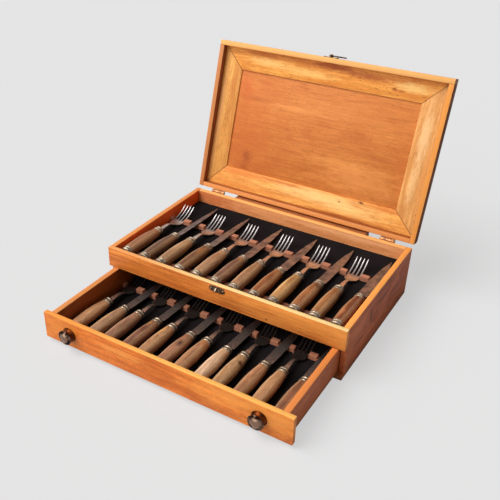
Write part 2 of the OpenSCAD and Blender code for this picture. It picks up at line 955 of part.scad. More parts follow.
module tray_fork_1() { tray_fork(0); }
module tray_fork_2() { tray_fork(1); }
module tray_fork_3() { tray_fork(2); }
module tray_fork_4() { tray_fork(3); }
module tray_fork_5() { tray_fork(4); }
module tray_fork_6() { tray_fork(5); }
module tray_knife_1() { tray_knife(0); }
module tray_knife_2() { tray_knife(1); }
module tray_knife_3() { tray_knife(2); }
module tray_knife_4() { tray_knife(3); }
module tray_knife_5() { tray_knife(4); }
module tray_knife_6() { tray_knife(5); }
module drawer_fork_1() { drawer_fork(0); }
module drawer_fork_2() { drawer_fork(1); }
module drawer_fork_3() { drawer_fork(2); }
module drawer_fork_4() { drawer_fork(3); }
module drawer_fork_5() { drawer_fork(4); }
module drawer_fork_6() { drawer_fork(5); }
module drawer_knife_1() { drawer_knife(0); }
module drawer_knife_2() { drawer_knife(1); }
module drawer_knife_3() { drawer_knife(2); }
module drawer_knife_4() { drawer_knife(3); }
module drawer_knife_5() { drawer_knife(4); }
module drawer_knife_6() { drawer_knife(5); }

case_bottom();
case_left_side();
case_right_side();
case_back();
front_rail();
tray_floor();
tray_felt();
tray_blade_rack();
tray_grip_rack();
stop_batten();
catch_plate();
case_hinges();
case_nails();
lid_front_rim();
lid_back_rim();
lid_left_rim();
lid_right_rim();
lid_frame_front();
lid_frame_back();
lid_frame_left();
lid_frame_right();
lid_panel();
lid_hinges();
latch_plate();
lid_nails();
latch_hook();
drawer_front();
drawer_left_side();
drawer_right_side();
drawer_back();
drawer_bottom();
drawer_felt();
drawer_blade_rack();
drawer_grip_rack();
drawer_knobs();
knob_screws();
tray_fork_1();
tray_fork_2();
tray_fork_3();
tray_fork_4();
tray_fork_5();
tray_fork_6();
tray_knife_1();
tray_knife_2();
tray_knife_3();
tray_knife_4();
tray_knife_5();
tray_knife_6();
drawer_fork_1();
drawer_fork_2();
drawer_fork_3();
drawer_fork_4();
drawer_fork_5();
drawer_fork_6();
drawer_knife_1();
drawer_knife_2();
drawer_knife_3();
drawer_knife_4();
drawer_knife_5();
drawer_knife_6();
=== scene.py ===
import math

import bmesh
import bpy
from mathutils import Euler, Matrix, Quaternion, Vector


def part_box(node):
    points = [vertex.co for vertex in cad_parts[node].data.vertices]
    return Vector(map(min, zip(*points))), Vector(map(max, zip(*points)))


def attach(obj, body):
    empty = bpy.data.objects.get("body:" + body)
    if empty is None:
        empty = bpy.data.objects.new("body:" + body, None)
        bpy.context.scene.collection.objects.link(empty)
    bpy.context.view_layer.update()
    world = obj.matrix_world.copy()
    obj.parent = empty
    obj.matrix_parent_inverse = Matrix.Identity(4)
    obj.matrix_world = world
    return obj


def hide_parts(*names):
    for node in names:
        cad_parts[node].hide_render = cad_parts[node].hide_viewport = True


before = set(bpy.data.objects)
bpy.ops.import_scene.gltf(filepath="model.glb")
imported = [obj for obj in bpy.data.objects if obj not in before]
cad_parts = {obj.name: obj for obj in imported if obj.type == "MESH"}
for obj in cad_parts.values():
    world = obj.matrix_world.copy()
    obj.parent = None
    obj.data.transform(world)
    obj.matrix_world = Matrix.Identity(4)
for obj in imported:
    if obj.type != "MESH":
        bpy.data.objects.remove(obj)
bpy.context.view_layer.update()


# CAMERA AND STUDIO
# The box stands on a pale floor, seen from its front right corner and from above.
# One wide soft light hangs overhead to the left and a weaker one stands in front.

camera_target = Vector((-0.0892, 0.0, 0.025))
camera_distance, focal_length, film_width = 1.1734, 51.0, 36.0
camera_turn, camera_rise, camera_roll = math.radians(32.17), math.radians(31.87), math.radians(0.36)
towards_camera = Vector((math.sin(camera_turn) * math.cos(camera_rise),
                         -math.cos(camera_turn) * math.cos(camera_rise), math.sin(camera_rise)))
lens = bpy.data.cameras.new("camera")
lens.sensor_width, lens.lens = film_width, focal_length
# The shifted lens sets the box into the picture where the photo has it.
lens.shift_x, lens.shift_y = 0.0766, 0.0264
lens.clip_start, lens.clip_end = 0.01, 100.0
camera = bpy.data.objects.new("camera", lens)
bpy.context.scene.collection.objects.link(camera)
camera.location = camera_target + towards_camera * camera_distance
camera.rotation_mode = "QUATERNION"
camera.rotation_quaternion = ((-towards_camera).to_track_quat("-Z", "Y")
                              @ Quaternion((0, 0, 1), camera_roll))
bpy.context.scene.camera = camera
bpy.context.scene.view_settings.view_transform = "Standard"


def feed(tree, node, **inputs):
    """Gives a shader node's inputs, named or numbered, their values or other nodes' outputs."""
    for key, value in inputs.items():
        socket = node.inputs[int(key[1:])] if key[1:].isdigit() else node.inputs[key.replace("_", " ")]
        if isinstance(value, bpy.types.NodeSocket):
            tree.links.new(value, socket)
        else:
            socket.default_value = value


def put(tree, kind, settings=None, **inputs):
    """Adds a shader node and feeds it."""
    made = tree.nodes.new("ShaderNode" + kind)
    for key, value in (settings or {}).items():
        setattr(made, key, value)
    feed(tree, made, **inputs)
    return made


def colour(code):
    """A colour written as in a paint list, such as d98b45, taken through the screen's own curve."""
    parts = [int(code[i:i + 2], 16) / 255 for i in (0, 2, 4)]
    return [c / 12.92 if c <= 0.04045 else ((c + 0.055) / 1.055) ** 2.4 for c in parts] + [1.0]


def lamp(name, from_point, strength, spread):
    """A soft light that shines from a far point towards the box. spread is its width in degrees."""
    light = bpy.data.lights.new(name, "SUN")
    light.energy, light.angle = strength, math.radians(spread)
    held = bpy.data.objects.new(name, light)
    bpy.context.scene.collection.objects.link(held)
    held.rotation_euler = Vector(from_point).to_track_quat("Z", "Y").to_euler()


def maths(tree, first, second, how="MULTIPLY"):
    """Arithmetic on two shader values."""
    return put(tree, "Math", {"operation": how}, i0=first, i1=second).outputs[0]


lamp("overhead light", (-0.52, -0.42, 1.0), 3.1, 45)
lamp("front light", (-0.45, -1.0, 0.45), 1.45, 60)

world = bpy.data.worlds.new("studio")
bpy.context.scene.world = world
world.use_nodes = True
sky = world.node_tree
sky.nodes.clear()
rays = put(sky, "LightPath")
seen = maths(sky, rays.outputs["Is Camera Ray"], rays.outputs["Is Glossy Ray"], "MAXIMUM")
seen = maths(sky, seen, rays.outputs["Is Transmission Ray"], "MAXIMUM")
# The air that is seen, straight or in a mirror, is pale grey; the rest only fills the shadows.
unseen_air = put(sky, "Background", Color=(1, 1, 1, 1), Strength=0.2)
seen_air = put(sky, "Background", Color=colour("e2e2e2"), Strength=1.0)
air = put(sky, "MixShader", i0=seen, i1=unseen_air.outputs[0], i2=seen_air.outputs[0])
put(sky, "OutputWorld", Surface=air.outputs[0])


def new_material(name):
    """A material with its node tree and its shader."""
    material = bpy.data.materials.new(name)
    material.use_nodes = True
    return material, material.node_tree, material.node_tree.nodes["Principled BSDF"]


bpy.ops.mesh.primitive_plane_add(size=24, location=(0, 0, 0))
floor = bpy.context.object
floor.name = "studio_floor"
floor_paper, tree, skin = new_material("floor paper")
feed(tree, skin, Base_Color=(0.6, 0.6, 0.6, 1), Roughness=0.95, Specular_IOR_Level=0.0)
# The camera sees the paper partly by its own glow, so that the box throws only a faint shadow.
glow = put(tree, "Emission", Color=colour("e8e8e8"), Strength=1.0)
camera_share = maths(tree, put(tree, "LightPath").outputs["Is Camera Ray"], 0.68)
paper = put(tree, "MixShader", i0=camera_share, i1=skin.outputs[0], i2=glow.outputs[0])
feed(tree, tree.nodes["Material Output"], Surface=paper.outputs[0])
floor.data.materials.append(floor_paper)


# CASE BOARDS
# The case is a bottom panel with two sides, a back and a front rail over the drawer's opening.
# They are sawn boards of a warm orange hardwood, butted, glued and thinly varnished.

# Lengths that differ by less count as equal.
hair = 1e-6


def alone():
    """Leaves edit mode and lets go of everything."""
    if bpy.context.object is not None and bpy.context.object.mode == "EDIT":
        bpy.ops.object.mode_set(mode="OBJECT")
    bpy.ops.object.select_all(action="DESELECT")


def hold(piece):
    """Lets go of everything but one piece."""
    alone()
    piece.select_set(True)
    bpy.context.view_layer.objects.active = piece


def pick(kind, test):
    """In edit mode, takes only the edges or the faces whose middle passes the test."""
    bpy.ops.mesh.select_mode(type=kind)
    bpy.ops.mesh.select_all(action="DESELECT")
    mesh = bmesh.from_edit_mesh(bpy.context.object.data)
    for part in (mesh.edges if kind == "EDGE" else mesh.faces):
        if kind == "EDGE":
            middle = (part.verts[0].co + part.verts[1].co) / 2
        else:
            middle = part.calc_center_median()
        if test(middle):
            part.select_set(True)
    mesh.select_flush_mode()
    bmesh.update_edit_mesh(bpy.context.object.data)


def painted(piece, material):
    """Sets a part's place into its mesh and gives it its finish."""
    hold(piece)
    bpy.ops.object.transform_apply()
    if material is not None:
        piece.data.materials.clear()
        piece.data.materials.append(material)
    return piece


def finish_piece(piece, body, material, smooth=35):
    """Gives a modelled piece its finish and its body. Faces that meet at less than smooth degrees
    look rounded."""
    painted(piece, material)
    bpy.ops.object.shade_smooth_by_angle(angle=math.radians(smooth))
    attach(piece, body)
    return piece


def begun(name, size=(1, 1, 1)):
    """Names and sizes the piece just added, sets its place into its mesh and goes into edit mode."""
    piece = bpy.context.object
    piece.name = name
    piece.scale = size
    bpy.ops.object.transform_apply()
    bpy.ops.object.mode_set(mode="EDIT")
    return piece


def block(name, low, high):
    """A block between two corners, left in edit mode."""
    low, high = Vector(low), Vector(high)
    alone()
    bpy.ops.mesh.primitive_cube_add(size=1, location=(low + high) / 2)
    return begun(name, high - low)


def sawn_board(name, low, high, eased=0.0007, rounded=0.0):
    """A board, left in edit mode: its edges are eased by sandpaper, its upper back edge rounded."""
    piece = block(name, low, high)
    if rounded:
        pick("EDGE", lambda c: c.y > high[1] - hair and c.z > high[2] - hair)
        bpy.ops.mesh.bevel(offset=rounded, segments=7, affect="EDGES")
    bpy.ops.mesh.select_mode(type="EDGE")
    bpy.ops.mesh.select_all(action="DESELECT")
    bpy.ops.mesh.edges_select_sharp(sharpness=math.radians(60))
    bpy.ops.mesh.bevel(offset=eased, segments=2, affect="EDGES")
    return piece


def shader_group(name, taken):
    """A node group that makes a colour, a gloss and a height. taken lists what it is given."""
    group = bpy.data.node_groups.new(name, "ShaderNodeTree")
    made = (("Color", "Color"), ("Gloss", "Float"), ("Height", "Float"))
    for sockets, way in ((taken, "INPUT"), (made, "OUTPUT")):
        for label, kind in sockets:
            group.interface.new_socket(label, in_out=way, socket_type="NodeSocket" + kind)
    return group


wood_grain = shader_group("wood grain", (("Vector", "Vector"), ("Pale", "Color"), ("Dark", "Color"),
                                         ("Figure", "Float"), ("Mottle", "Float"), ("Pores", "Float")))
given = wood_grain.nodes.new("NodeGroupInput")


def vector_maths(tree, how, first, second=(0, 0, 0)):
    """Arithmetic on two shader vectors. A dot product or a length comes out as a value."""
    made = put(tree, "VectorMath", {"operation": how}, i0=first, i1=second)
    return made.outputs["Value" if how in ("DOT_PRODUCT", "LENGTH") else "Vector"]


def fibrous(along, across, detail=2.0, distortion=0.0, roughness=0.5):
    """Noise in the grain group, drawn out along X. along and across are counts per metre."""
    scaled = vector_maths(wood_grain, "MULTIPLY", given.outputs["Vector"], (along, across, across))
    return put(wood_grain, "TexNoise", Vector=scaled, Scale=1.0, Detail=detail,
               Distortion=distortion, Roughness=roughness).outputs[0]


def between(tree, value, low, high, bottom=0.0, top=1.0):
    """A value from low to high spread over bottom to top, and held there."""
    return put(tree, "MapRange", i0=value, i1=low, i2=high, i3=bottom, i4=top).outputs[0]


def blended(tree, share, first, second, how="MIX"):
    """One colour laid over another."""
    mix = put(tree, "Mix", {"data_type": "RGBA", "blend_type": how}, i0=share, i6=first, i7=second)
    return mix.outputs[2]


bands = fibrous(4.0, 46.0, detail=4.0, distortion=0.8)
streaks = fibrous(9.0, 150.0, detail=3.0, distortion=0.5)
lines = fibrous(18.0, 420.0, detail=3.0, distortion=0.3)
fibres = fibrous(60.0, 1500.0)
pores = fibrous(170.0, 1300.0, detail=1.0)
cloud = fibrous(13.0, 24.0, detail=4.0, distortion=0.6, roughness=0.6)
ripple = fibrous(40.0, 110.0, detail=5.0, distortion=0.8, roughness=0.7)
tone = given.outputs["Pale"]
# Each kind of figure darkens the wood where its noise runs from low to high, by no more than most.
for drift, low, high, most, amount in ((bands, 0.34, 0.68, 0.5, "Figure"),
                                       (streaks, 0.44, 0.68, 0.5, "Figure"),
                                       (lines, 0.46, 0.66, 0.6, "Figure"),
                                       (cloud, 0.48, 0.7, 0.8, "Mottle"),
                                       (ripple, 0.5, 0.68, 0.7, "Mottle")):
    share = maths(wood_grain, between(wood_grain, drift, low, high, 0.0, most), given.outputs[amount])
    tone = blended(wood_grain, share, tone, given.outputs["Dark"])
# Dark fibres are redder and pale ones yellower: red, green and blue swing by different amounts.
shade = put(wood_grain, "CombineColor", i0=between(wood_grain, fibres, 0.3, 0.7, 0.88, 1.1),
            i1=between(wood_grain, fibres, 0.3, 0.7, 0.82, 1.14),
            i2=between(wood_grain, fibres, 0.3, 0.7, 0.76, 1.18)).outputs[0]
tone = blended(wood_grain, 1.0, tone, shade, "MULTIPLY")
pore = maths(wood_grain, between(wood_grain, pores, 0.66, 0.74), given.outputs["Pores"])
tone = blended(wood_grain, pore, tone, (0.1, 0.03, 0.01, 1))
gloss = between(wood_grain, cloud, 0.3, 0.7, 0.48, 0.62)
gloss = maths(wood_grain, gloss, maths(wood_grain, pore, 0.3), "ADD")
feed(wood_grain, wood_grain.nodes.new("NodeGroupOutput"), Color=tone, Gloss=gloss,
     Height=maths(wood_grain, fibres, pore, "SUBTRACT"))


def wood(name, pale, dark, turn=(0, 0, 0), shift=(0, 0, 0), figure=0.6, mottle=0.3, pores=0.4,
         coat=0.06, lit_face=None, patches=(), seams=(), fine=1.0):
    """A thinly varnished wood. turn brings the board's length onto X, shift takes it from elsewhere in
    the tree and fine narrows its figure. figure, mottle and pores say how strongly each shows.
    A paler colour with a direction paints light on the faces that look that way, as if they were lit more
    strongly: painted light; a third entry is its colour at the left.
    A patch, either a stain or painted light or a painted highlight, is a place, its reach along, across and
    through the board, its depth and its colour.
    A seam is a dark joint line: a point and the direction across it."""
    material, tree, skin = new_material(name)
    coordinates = put(tree, "TexCoord")
    place = coordinates.outputs["Object"]
    angles = [math.radians(a) for a in turn]
    turned = put(tree, "Mapping", Vector=place, Rotation=angles, Location=shift, Scale=(fine, fine, fine))
    grain = put(tree, "Group", {"node_tree": wood_grain}, Vector=turned.outputs[0], Pale=colour(pale),
                Dark=colour(dark), Figure=figure, Mottle=mottle, Pores=pores)
    tone = grain.outputs["Color"]
    # Where the surface faces none of the board's three ways squarely, it is an edge, worn paler.
    level = put(tree, "Mapping", {"vector_type": "NORMAL"}, Vector=coordinates.outputs["Normal"],
                Rotation=angles)
    level = vector_maths(tree, "ABSOLUTE", level.outputs[0])
    level = put(tree, "SeparateXYZ", Vector=level)
    flat = maths(tree, level.outputs[0], level.outputs[1], "MAXIMUM")
    flat = maths(tree, flat, level.outputs[2], "MAXIMUM")
    worn = maths(tree, between(tree, flat, 0.98, 0.88),
                 between(tree, grain.outputs["Height"], 0.3, 0.7, 0.05, 0.35))
    tone = blended(tree, worn, tone, colour("f4c48c"), "SCREEN")
    # A patch, stain or painted light, fades out within its reach, and noise makes its outline ragged.
    for centre, reach, depth, patch_colour in patches:
        middle = Euler(angles).to_matrix() @ (Vector(centre) * fine) + Vector(shift)
        off = vector_maths(tree, "SUBTRACT", turned.outputs[0], middle)
        off = vector_maths(tree, "DIVIDE", off, Vector(reach) * fine)
        far = vector_maths(tree, "LENGTH", off)
        wobble = put(tree, "TexNoise", Vector=off, Scale=2.6, Detail=7.0, Roughness=0.78).outputs[0]
        far = maths(tree, far, between(tree, wobble, 0.3, 0.7, -0.65, 0.65), "ADD")
        tone = blended(tree, between(tree, far, 0.25, 1.0, depth, 0.0), tone, colour(patch_colour))
    # Painted light: the faces that look the given way are painted paler, as if lit more strongly, less so in
    # the pores.
    if lit_face:
        facing = vector_maths(tree, "DOT_PRODUCT", coordinates.outputs["Normal"], lit_face[1])
        bare = colour(lit_face[0])
        if len(lit_face) > 2:
            left_end, middle = -0.16, 0.01
            from_left = between(tree, put(tree, "SeparateXYZ", Vector=place).outputs[0], left_end, middle)
            bare = blended(tree, from_left, colour(lit_face[2]), bare)
        bare = blended(tree, between(tree, grain.outputs["Height"], 0.35, 0.65, 0.0, 0.22), bare, tone,
                       "MULTIPLY")
        share = maths(tree, between(tree, facing, 0.3, 0.8),
                      between(tree, grain.outputs["Height"], 0.3, 0.7, 0.82, 1.0))
        tone = blended(tree, share, tone, bare)
    # A seam is darkest within 0.3 mm of its middle and gone at 1.1 mm.
    for point, across in seams:
        off = vector_maths(tree, "DOT_PRODUCT", place, across)
        off = maths(tree, off, Vector(point).dot(Vector(across)), "SUBTRACT")
        off = put(tree, "Math", {"operation": "ABSOLUTE"}, i0=off).outputs[0]
        tone = blended(tree, between(tree, off, 0.0003, 0.0011, 0.65, 0.0), tone, colour("7a3410"))
    bump = put(tree, "Bump", Height=grain.outputs["Height"], Strength=0.35, Distance=0.0002)
    # A board without varnish hardly shines.
    feed(tree, skin, Base_Color=tone, Roughness=grain.outputs["Gloss"], Normal=bump.outputs[0],
         Specular_IOR_Level=0.25 if coat else 0.06, Coat_Weight=coat, Coat_Roughness=0.3)
    return material


def case_board(name, node, body, material):
    """A board in the place and size of its CAD node."""
    low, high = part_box(node)
    piece = finish_piece(sawn_board(name, low, high), body, material)
    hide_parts(node)


# The way a board's grain runs, and the painted light on an upward-facing top edge.
crosswise, lengthwise, upwards = (0, 0, 0), (0, 0, 90), (0, 0, 1)
lit_top = ("f8dc98", upwards, "e69e58")
case_board("bottom_board", "case_bottom", "case",
           wood("bottom wood", "a85c2c", "6c3214", crosswise, (0.3, 0.1, 0), figure=0.5, mottle=0.3))
# The inner face of the left side is painted strong orange by a thin stain: painted warm bounce light on a
# face in shade.
case_board("left_side_board", "case_left_side", "case",
           wood("left side wood", "c8683a", "80361c", lengthwise, (0.1, 0.7, 0.2),
                figure=0.8, mottle=0.5, pores=0.6, lit_face=("de9450", upwards),
                patches=[((-0.1915, 0.0, 0.06), (0.6, 0.005, 0.6), 0.85, "ec6018")]))
case_board("right_side_board", "case_right_side", "case",
           wood("right side wood", "d86e38", "742a10", lengthwise, (0.5, 0.2, 0.4),
                figure=1.0, mottle=0.8, pores=0.8, lit_face=("f4a450", upwards),
                patches=[((0.2, -0.1, 0.05), (0.09, 0.05, 0.06), 0.3, "de8452"),
                        ((0.2, 0.11, 0.04), (0.07, 0.05, 0.08), 0.35, "a85428"),
                        ((0.2, -0.035, 0.055), (0.006, 0.02, 0.014), 0.8, "3c1a10"),
                        ((0.2, 0.01, 0.06), (0.03, 0.02, 0.004), 0.6, "5a2414"),
                        ((0.2, -0.075, 0.035), (0.03, 0.02, 0.004), 0.6, "602816"),
                        ((0.2, 0.06, 0.045), (0.035, 0.02, 0.005), 0.5, "5c2616"),
                        ((0.2, 0.035, 0.025), (0.06, 0.02, 0.008), 0.5, "b8683c")]))
case_board("back_board", "case_back", "case",
           wood("back wood", "e69a62", "b8662e", crosswise, (0.9, 0.4, 0.1),
                figure=0.6, mottle=0.3, pores=0.5, lit_face=("f4b468", upwards),
                patches=[((-0.17, 0.118, 0.075), (0.09, 0.05, 0.03), 0.6, "b45226"),
                        ((0.1, 0.118, 0.078), (0.14, 0.05, 0.006), 0.5, "f2b27c")]))
case_board("rail_board", "front_rail", "case",
           wood("front wood", "ec903c", "a4501a", crosswise, (0, 0, 0),
                figure=1.0, mottle=0.4, pores=0.8, lit_face=lit_top,
                patches=[((0.19, -0.127, 0.07), (0.22, 0.05, 0.03), 0.4, "f0a24e"),
                        ((-0.08, -0.127, 0.058), (0.1, 0.05, 0.012), 0.45, "b8541a"),
                        ((0.081, -0.127, 0.0561), (0.003, 0.02, 0.0018), 0.9, "5c240a"),
                        ((0.1346, -0.127, 0.0561), (0.006, 0.02, 0.0012), 0.7, "a0481a"),
                        ((0.1183, -0.127, 0.0503), (0.006, 0.02, 0.0014), 0.6, "a0481a")]))
case_board("tray_floor_board", "tray_floor", "case",
           wood("floor wood", "b86a35", "8c4620", crosswise, (0.2, 0.3, 0)))


# TRAY LINING
# The tray is lined with one sheet of black felt, glued to the board under it.
# Felt is matted wool: dull, with short stray fibres and faint unevenness.

felt_cloth, tree, skin = new_material("black felt")
place = put(tree, "TexCoord").outputs["Object"]
fuzz = put(tree, "TexNoise", Vector=place, Scale=2600.0, Detail=3.0).outputs[0]
lint = put(tree, "TexNoise", Vector=place, Scale=420.0, Detail=2.0).outputs[0]
uneven = put(tree, "TexNoise", Vector=place, Scale=26.0, Detail=2.0).outputs[0]
tone = blended(tree, between(tree, uneven, 0.35, 0.65), colour("0f0b0c"), colour("191314"))
tone = blended(tree, between(tree, lint, 0.68, 0.8, 0.0, 0.4), tone, colour("2a2426"))
nap = put(tree, "Bump", Height=fuzz, Strength=0.6, Distance=0.0004)
feed(tree, skin, Base_Color=tone, Roughness=between(tree, fuzz, 0.3, 0.7, 0.85, 1.0), Normal=nap.outputs[0],
     Sheen_Weight=0.02, Sheen_Roughness=0.6, Specular_IOR_Level=0.03)


def felt_sheet(name, node, body):
    """A cut sheet of felt, half a millimetre short of the walls all round and hardly wavy."""
    low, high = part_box(node)
    shortened, above_floor, wave_height = 0.001, 0.0006, 0.00005
    wide, long = high.x - low.x - shortened, high.y - low.y - shortened
    middle = ((low.x + high.x) / 2, (low.y + high.y) / 2, low.z + above_floor)
    alone()
    bpy.ops.mesh.primitive_grid_add(x_subdivisions=90, y_subdivisions=54, size=1, location=middle)
    piece = begun(name, (wide, long, 1))
    mesh = bmesh.from_edit_mesh(piece.data)
    for point in mesh.verts:
        wave = math.sin(point.co.x * 71 + point.co.y * 23) + math.sin(point.co.y * 97 - point.co.x * 31)
        point.co.z += wave_height * wave
    bmesh.update_edit_mesh(piece.data)
    finish_piece(piece, body, felt_cloth, 60)
    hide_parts(node)


felt_sheet("tray_felt_sheet", "tray_felt", "case")


# TRAY RACKS
# Two combs of thin reddish wood, glued across the felt, keep the forks and knives apart.
# Only the short blocks between their slots are seen.

rack_wood = wood("rack wood", "c08264", "86503c", crosswise, (0.2, 0.5, 0),
                 figure=0.7, mottle=0.4, pores=0.6, coat=0.05, fine=1.6)
grip_rack_wood = wood("grip rack wood", "94604c", "5e3c2c", crosswise, (0.2, 0.5, 0),
                      figure=0.7, mottle=0.4, pores=0.6, coat=0.0, fine=1.6)


def dress(node, material):
    """Gives its finish to a CAD piece that stays as it is."""
    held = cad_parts[node].data.materials
    held.clear()
    held.append(material)


dress("tray_blade_rack", rack_wood)
dress("tray_grip_rack", grip_rack_wood)


# STOP BATTEN
# A square batten is screwed to the back board between the hinges.
# The open lid leans on its planed top edge.

case_board("stop_batten_board", "stop_batten", "case",
           wood("batten wood", "b0683a", "7c4022", crosswise, (0.7, 0.1, 0.3)))


# CATCH, HINGES AND NAILS
# The catch plate and the hinge leaves are stamped from thin brass plate and nailed on.
# They are browned by age and worn bright on their edges.

worn_metal = shader_group("worn metal", (("Bright", "Color"), ("Dull", "Color"), ("Size", "Float"),
                                         ("Wear", "Float")))
given = worn_metal.nodes.new("NodeGroupInput")
place = put(worn_metal, "TexCoord").outputs["Object"]
# Dirt and tarnish stay in the hollows and in blotches.
hollow = put(worn_metal, "AmbientOcclusion", {"only_local": True, "samples": 6}, Distance=0.0025)
blotch = put(worn_metal, "TexNoise", Vector=place, Scale=given.outputs["Size"], Detail=4.0,
             Roughness=0.6).outputs[0]
grit = put(worn_metal, "TexNoise", Vector=place, Scale=2400.0, Detail=2.0).outputs[0]
dull = between(worn_metal, blotch, 0.62, 0.38)
deep = between(worn_metal, hollow.outputs["AO"], 0.55, 0.95, 1.0, 0.0)
dull = maths(worn_metal, maths(worn_metal, dull, given.outputs["Wear"]), deep, "MAXIMUM")
gloss = between(worn_metal, grit, 0.3, 0.7, 0.0, 0.08)
gloss = maths(worn_metal, maths(worn_metal, dull, 0.22), gloss, "ADD")
feed(worn_metal, worn_metal.nodes.new("NodeGroupOutput"), Gloss=gloss,
     Color=blended(worn_metal, dull, given.outputs["Bright"], given.outputs["Dull"]),
     Height=maths(worn_metal, grit, maths(worn_metal, blotch, 2.0), "ADD"))


def metal(name, bright, dull, size, wear, gloss, bump=0.12, polished=None, bare=1.0):
    """A plain metal, bright where it is rubbed and dull in its hollows. size is the count of its
    blotches per metre. polished is a place and a direction in which handling has kept it bright.
    bare is less than one where a thin brown film covers it."""
    material, tree, skin = new_material(name)
    worn = put(tree, "Group", {"node_tree": worn_metal}, Bright=colour(bright), Dull=colour(dull),
               Size=size, Wear=wear)
    # Past the polished place the wear is gone within 0.8 mm.
    if polished:
        off = vector_maths(tree, "SUBTRACT", put(tree, "TexCoord").outputs["Object"], polished[0])
        off = vector_maths(tree, "DOT_PRODUCT", off, polished[1])
        feed(tree, worn, Wear=between(tree, off, 0.0, 0.0008, wear, 0.0))
    rough = put(tree, "Bump", Height=worn.outputs["Height"], Strength=bump, Distance=0.0002)
    feed(tree, skin, Base_Color=worn.outputs["Color"], Normal=rough.outputs[0], Metallic=bare,
         Roughness=maths(tree, worn.outputs["Gloss"], gloss, "ADD"))
    return material


forwards = (0, -1, 0)
catch_brass = metal("catch brass", "e0cbb0", "2a1a10", size=900.0, wear=1.9, gloss=0.3,
                    polished=((0, -0.1286, 0), forwards))
pale_brass = metal("pale brass", "d09c70", "8a5838", size=260.0, wear=0.9, gloss=0.5, bump=0.15)
nail_brass = metal("nail brass", "c8a878", "5a402a", size=500.0, wear=0.6, gloss=0.25)
dress("catch_plate", catch_brass)
dress("case_hinges", pale_brass)
dress("case_nails", nail_brass)


# LID RIM
# Four boards of orange hardwood on edge, butted at the corners and rounded along the lid's back.
# The lid is modelled shut and then opened about the hinge pins.

hinge_axis = Vector((0, 0.1308, 0.08365))
lid_angle = 106
opened = (Matrix.Translation(hinge_axis) @ Matrix.Rotation(math.radians(-lid_angle), 4, "X")
          @ Matrix.Translation(-hinge_axis))
rim_x, rim_y, rim_in_x, rim_in_y = 0.2, 0.127, 0.192, 0.119
lid_under, lid_top, frame_depth = 0.0838, 0.1028, 0.0115
frame_under = lid_under + frame_depth


def move(piece, how):
    """Ends the work on a piece's mesh and moves or turns it from where it is."""
    hold(piece)
    piece.matrix_world = how @ piece.matrix_world
    bpy.context.view_layer.update()


def lid_board(name, node, low, high, material, rounded=0.0):
    """A rim board between two corners, x and y of each."""
    piece = sawn_board(name, (*low, lid_under), (*high, lid_top), rounded=rounded)
    move(piece, opened)
    finish_piece(piece, "lid", material)
    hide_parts(node)


def on_lid(x, y):
    """A place on the frame's face, given on the shut lid."""
    return opened @ Vector((x, y, frame_under))


shut, shut_side = (lid_angle, 0, 0), (lid_angle, 0, 90)
rim_face = tuple(opened.to_3x3() @ Vector((0, 0, -1)))
rim_joint, rim_across = tuple(on_lid(0, rim_in_y)), tuple(opened.to_3x3() @ Vector((0, 1, 0)))
rim_end = tuple(on_lid(rim_x, -0.125))
back_rounding = 0.006
lid_board("rim_front_board", "lid_front_rim", (-rim_x, -rim_y), (rim_x, -rim_in_y),
          wood("front rim wood", "e89c50", "b8642a", shut, (0.1, 0.2, 0.6), figure=0.8,
               lit_face=("ecb066", rim_face), patches=[(rim_end, (0.0015, 0.03, 0.03), 0.9, "50281a")]))
lid_board("rim_back_board", "lid_back_rim", (-rim_in_x, rim_in_y), (rim_in_x, rim_y),
          wood("back rim wood", "e08c44", "a8541e", shut, (0.7, 0.5, 0.3), figure=0.9,
               lit_face=("dc904e", rim_face), seams=[(rim_joint, rim_across)]), back_rounding)
# The left and right rim boards are painted darker than the front and back ones: painted shade for their side
# faces, which turn from the light.
lid_board("rim_left_board", "lid_left_rim", (-rim_x, -rim_in_y), (-rim_in_x, rim_y),
          wood("left rim wood", "a85c2a", "6c3214", shut_side, (0.4, 0.8, 0.1), figure=0.8,
               lit_face=("cc8248", rim_face)), back_rounding)
lid_board("rim_right_board", "lid_right_rim", (rim_in_x, -rim_in_y), (rim_x, rim_y),
          wood("right rim wood", "7c401c", "48200c", shut_side, (0.4, 0.3, 0.9), figure=0.8, coat=0.0,
               lit_face=("ea9a4c", rim_face)), back_rounding)


# LID FRAME
# Four flat boards, mitred at the corners, fill the rim and hold the panel in a groove.
# They are cut from paler, mottled wood with a few knots.

frame_width = 0.035


def frame_board(name, node, turn, length, out, material):
    """Modelled lying along X with its outer edge on the axis, then moved out and turned into place
    by so many right angles."""
    piece = block(name, (-length / 2, 0, frame_under), (length / 2, frame_width, lid_top))
    pick("FACE", lambda c: c.y > frame_width - hair)
    bpy.ops.transform.resize(value=((length - 2 * frame_width) / length, 1, 1),
                             center_override=(0, frame_width, frame_under))
    bpy.ops.mesh.select_all(action="SELECT")
    bpy.ops.mesh.bevel(offset=0.00025, segments=2, affect="EDGES")
    move(piece, opened @ Matrix.Rotation(math.radians(90 * turn), 4, "Z") @ Matrix.Translation((0, -out, 0)))
    finish_piece(piece, "lid", material)
    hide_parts(node)


def seam(side_x, side_y):
    """The mitre in one corner of the frame: a point on it and the way across it."""
    across = opened.to_3x3() @ Vector((side_x, -side_y, 0)).normalized()
    return tuple(on_lid(side_x * rim_in_x, side_y * rim_in_y)), tuple(across)


def lid_patches(through, marks):
    """Stains, painted highlights and painted light that reach so far through the lid. A mark is its x and y
    when shut, its reach along and across, its depth and its colour."""
    return [(on_lid(x, y), (along, across, through), depth, patch_colour)
            for x, y, along, across, depth, patch_colour in marks]


